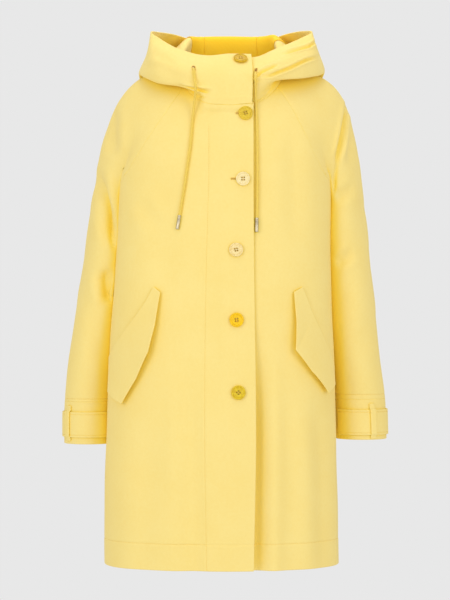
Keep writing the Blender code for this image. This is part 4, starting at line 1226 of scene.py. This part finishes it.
def worked_slit(name, cloth, centre, tilt, long, wide, bite, step=0.00075):
    """A slit in the cloth with stitches all round its edge. Tilt 0 lies level, 90 upright; bite is
    how far the stitches reach from the edge."""
    base, normal = on_cloth([cloth], *centre)
    level, up = axes_on(normal)
    tilt = np.radians(tilt)
    along, over = level * np.cos(tilt) + up * np.sin(tilt), up * np.cos(tilt) - level * np.sin(tilt)
    straight, half = long - wide, np.pi * wide / 2
    count = int(2 * (straight + half) / step)
    spots, ways = [], []
    for s in np.arange(count) * 2 * (straight + half) / count:
        second = s >= straight + half
        s, turned_round = s - second * (straight + half), 1 - 2 * second
        a = max(s - straight, 0) / (wide / 2) - np.pi / 2
        way = np.array((np.cos(a), np.sin(a)))
        spots.append(turned_round * (way * wide / 2 + (min(s, straight) - straight / 2, 0)))
        ways.append(turned_round * way)
    spots, ways = np.array(spots), np.array(ways)

    def lay(flat):
        """Places in the slit's own plane, set on the cloth there."""
        found = []
        for x, y in flat:
            rough = base + along * x + over * y
            found.append(on_cloth([cloth], rough[0], rough[2])[0])
        return np.array(found)

    rim = lay(spots)
    strands = []
    for inner, far in zip(rim, lay(spots + ways * bite)):
        path = [
            inner - normal * 0.0005,
            inner + normal * 0.0003,
            inner * 0.6 + far * 0.4 + normal * 0.00055,
            far + normal * 0.0002,
            far - normal * 0.0004,
        ]
        strands.append(tube(path, twist_radius, 6))
    sewn = add_mesh(name + "_stitches", *join(strands), thread)
    # A dark sheet across the slit: painted shade.
    bottom = np.concatenate([rim + normal * 0.00015, rim - normal * 0.0006])
    top = list(range(count))
    faces = [top, [count + k for k in top[::-1]]]
    faces += [[k, count + k, count + (k + 1) % count, (k + 1) % count] for k in top]
    fasten(sewn)
    fasten(add_mesh(name + "_slit", bottom, faces, shade))


near = 0.0035  # from the button's middle to the slit's end, towards the wearer's left
# the same to its other end, towards the wearer's right
for number, reach in enumerate((0.0120, 0.0185, 0.0232, 0.0125, 0.0125, 0.0125), 1):
    cloth, across, height = buttons[number - 1][:3]
    middle = (across + (near - reach) / 2, height)
    worked_slit(f"buttonhole_{number}", cloth, middle, 0, near + reach, hole_wide, hole_bite)
worked_slit("eyelet_right", "hood_panel_right", (-0.0715, 0.0225), 92, 0.0130, 0.0046, 0.0013)
worked_slit("eyelet_left", "hood_panel_left", (0.0474, 0.0190), 90, 0.0110, 0.0040, 0.0013)


# Drawstring. One braided cotton cord, 5 mm across, runs round inside the hood's edge and comes out
# by the eyelets; its two free ends hang down the front to their metal tips.
cord_radius, cord_sides, braid_lay = 0.0025, 32, 0.0085
cord_knots = {
    RIGHT: (
        (-0.0715, -0.1027, 0.0213),
        (-0.0707, -0.1075, 0.0100),
        (-0.0696, -0.1089, -0.0008),
        (-0.0672, -0.1063, -0.0180),
        (-0.0695, -0.1030, -0.0400),
        (-0.0733, -0.1047, -0.0738),
        (-0.0778, -0.1182, -0.1265),
        (-0.0864, -0.1225, -0.1880),
        (-0.0932, -0.1232, -0.2310),
        (-0.0980, -0.1236, -0.2600),
    ),
    LEFT: (
        (0.0462, -0.0966, 0.0160),
        (0.0465, -0.1012, 0.0010),
        (0.0465, -0.1010, -0.0188),
        (0.0466, -0.1004, -0.0390),
        (0.0482, -0.1048, -0.0620),
        (0.0494, -0.1157, -0.1050),
        (0.0498, -0.1228, -0.1480),
        (0.0497, -0.1253, -0.2090),
        (0.0487, -0.1279, -0.2650),
    ),
}
# Cotton yarn, soft and matt. Its fibres, really 0.02 mm across, are drawn 0.6 mm apart.
braid, tree, place = new_material("braided cotton cord, yellow")
yarn = node(tree, "TexNoise", {"Vector": place, "Scale": 1 / 0.0006, "Detail": 3.0}).outputs[0]
tint = node(tree, "Mix", {0: yarn, 6: linear("#E2BC40"), 7: linear("#F0D464")}, data_type="RGBA").outputs[2]
ply = node(tree, "Bump", {"Height": yarn, "Strength": 0.5, "Distance": 0.0002}).outputs[0]
finish = {"Base Color": tint, "Normal": ply, "Roughness": 0.8, "Sheen Weight": 0.2}
set_shader(tree, finish)

# Cord tips. Each end is closed by a satin nickel-plated brass tube, crimped on in two rings.
tip_sides = 40
# distance from the middle, distance down from the tip's mouth, in mm
tip_profile = np.array((
    (2.65, 3.0),
    (2.65, 0.1),
    (2.85, -0.25),
    (3.10, -0.25),
    (3.32, 0.05),
    (3.40, 0.5),
    (3.40, 3.0),
    (3.20, 3.3),
    (3.12, 3.7),
    (3.20, 4.1),
    (3.40, 4.4),
    (3.40, 5.4),
    (3.20, 5.7),
    (3.12, 6.1),
    (3.20, 6.5),
    (3.40, 6.8),
    (3.40, 25.6),
    (3.25, 26.4),
    (2.85, 26.9),
    (2.2, 27.0),
))
# Satin nickel is pale, with soft highlights. Its brushing lines are really 0.05 mm apart; they are
# drawn 0.4 mm apart.
nickel, tree, place = new_material("nickel-plated brass, satin")
brushed = node(tree, "TexNoise", {"Vector": place, "Scale": 1 / 0.0004, "Detail": 2.0}).outputs[0]
wear = node(tree, "MapRange", {"Value": brushed, "To Min": 0.30, "To Max": 0.42}).outputs[0]
tone = node(tree, "Mix", {0: brushed, 6: linear("#C2B596"), 7: linear("#D2C6A8")}, data_type="RGBA")
finish = {"Base Color": tone.outputs[2], "Roughness": wear, "Metallic": 1.0}
set_shader(tree, finish)

for side, word in both_sides:
    knots = np.array(cord_knots[side])
    cloths = ["hood_panel_" + word, "front_panel_" + word]
    fine = np.linspace(0, len(knots) - 1, 300)
    route = through(np.arange(len(knots)), knots, fine)
    clear = np.zeros(len(route))
    for k in range(6, len(route)):  # the first 6 places are in the eyelet
        spot, normal = on_cloth(cloths, route[k, 0], route[k, 2])
        short = cord_radius + 0.0003 - (spot[1] - route[k, 1]) * -normal[1]
        clear[k] = max(short, 0) / max(-normal[1], 0.4)
    # Kept clear of the cloth by the most that 12 places each way need, and smoothed over as many.
    padded = np.pad(clear, 12, mode="edge")
    highest = np.array([padded[k : k + 25].max() for k in range(len(clear))])
    evened = np.convolve(np.pad(highest, 12, mode="edge"), np.ones(25) / 25, "valid")
    route[:, 1] -= evened * ease(fine, 0, 0.5)

    run = np.concatenate([[0], np.cumsum(np.linalg.norm(np.diff(route, axis=0), axis=1))])
    even = np.linspace(0, run[-1], int(run[-1] / 0.0009))
    line = np.stack([np.interp(even, run, route[:, k]) for k in range(3)], -1)
    around = np.arange(cord_sides) * 2 * np.pi / cord_sides
    lay_of_braid = even[:, None] * 2 * np.pi / braid_lay
    one, two = np.sin(4 * around + lay_of_braid), np.sin(4 * around - lay_of_braid)
    swell = cord_radius * (0.90 + 0.10 * np.maximum(np.maximum(one, two), 0) ** 0.7)
    points, faces = tube(line, 1.0, cord_sides)
    middles = line.repeat(cord_sides, 0)
    points = middles + (points - middles) * swell.reshape(-1, 1)
    cord = add_mesh("drawcord_end_" + word, points, faces, braid)

    way = unit(knots[-1] - through(np.arange(len(knots)), knots, len(knots) - 1.05))
    mouth = line[-1] - way * 0.0012
    stations = mouth + way * tip_profile[:, 1:] / 1000
    ring = unit(tube(stations[[0, -1]], 1.0, tip_sides)[0][:tip_sides] - stations[0])
    points = (stations[:, None] + ring * tip_profile[:, :1, None] / 1000).reshape(-1, 3)
    faces = rod_faces(len(stations), tip_sides)
    del faces[-2]  # the mouth, which the cord goes into, is open
    tip = add_mesh("metal_tip_" + word, points, faces, nickel)
    fasten(cord, "drawstring_" + word)
    fasten(tip, "cord_tip_" + word)
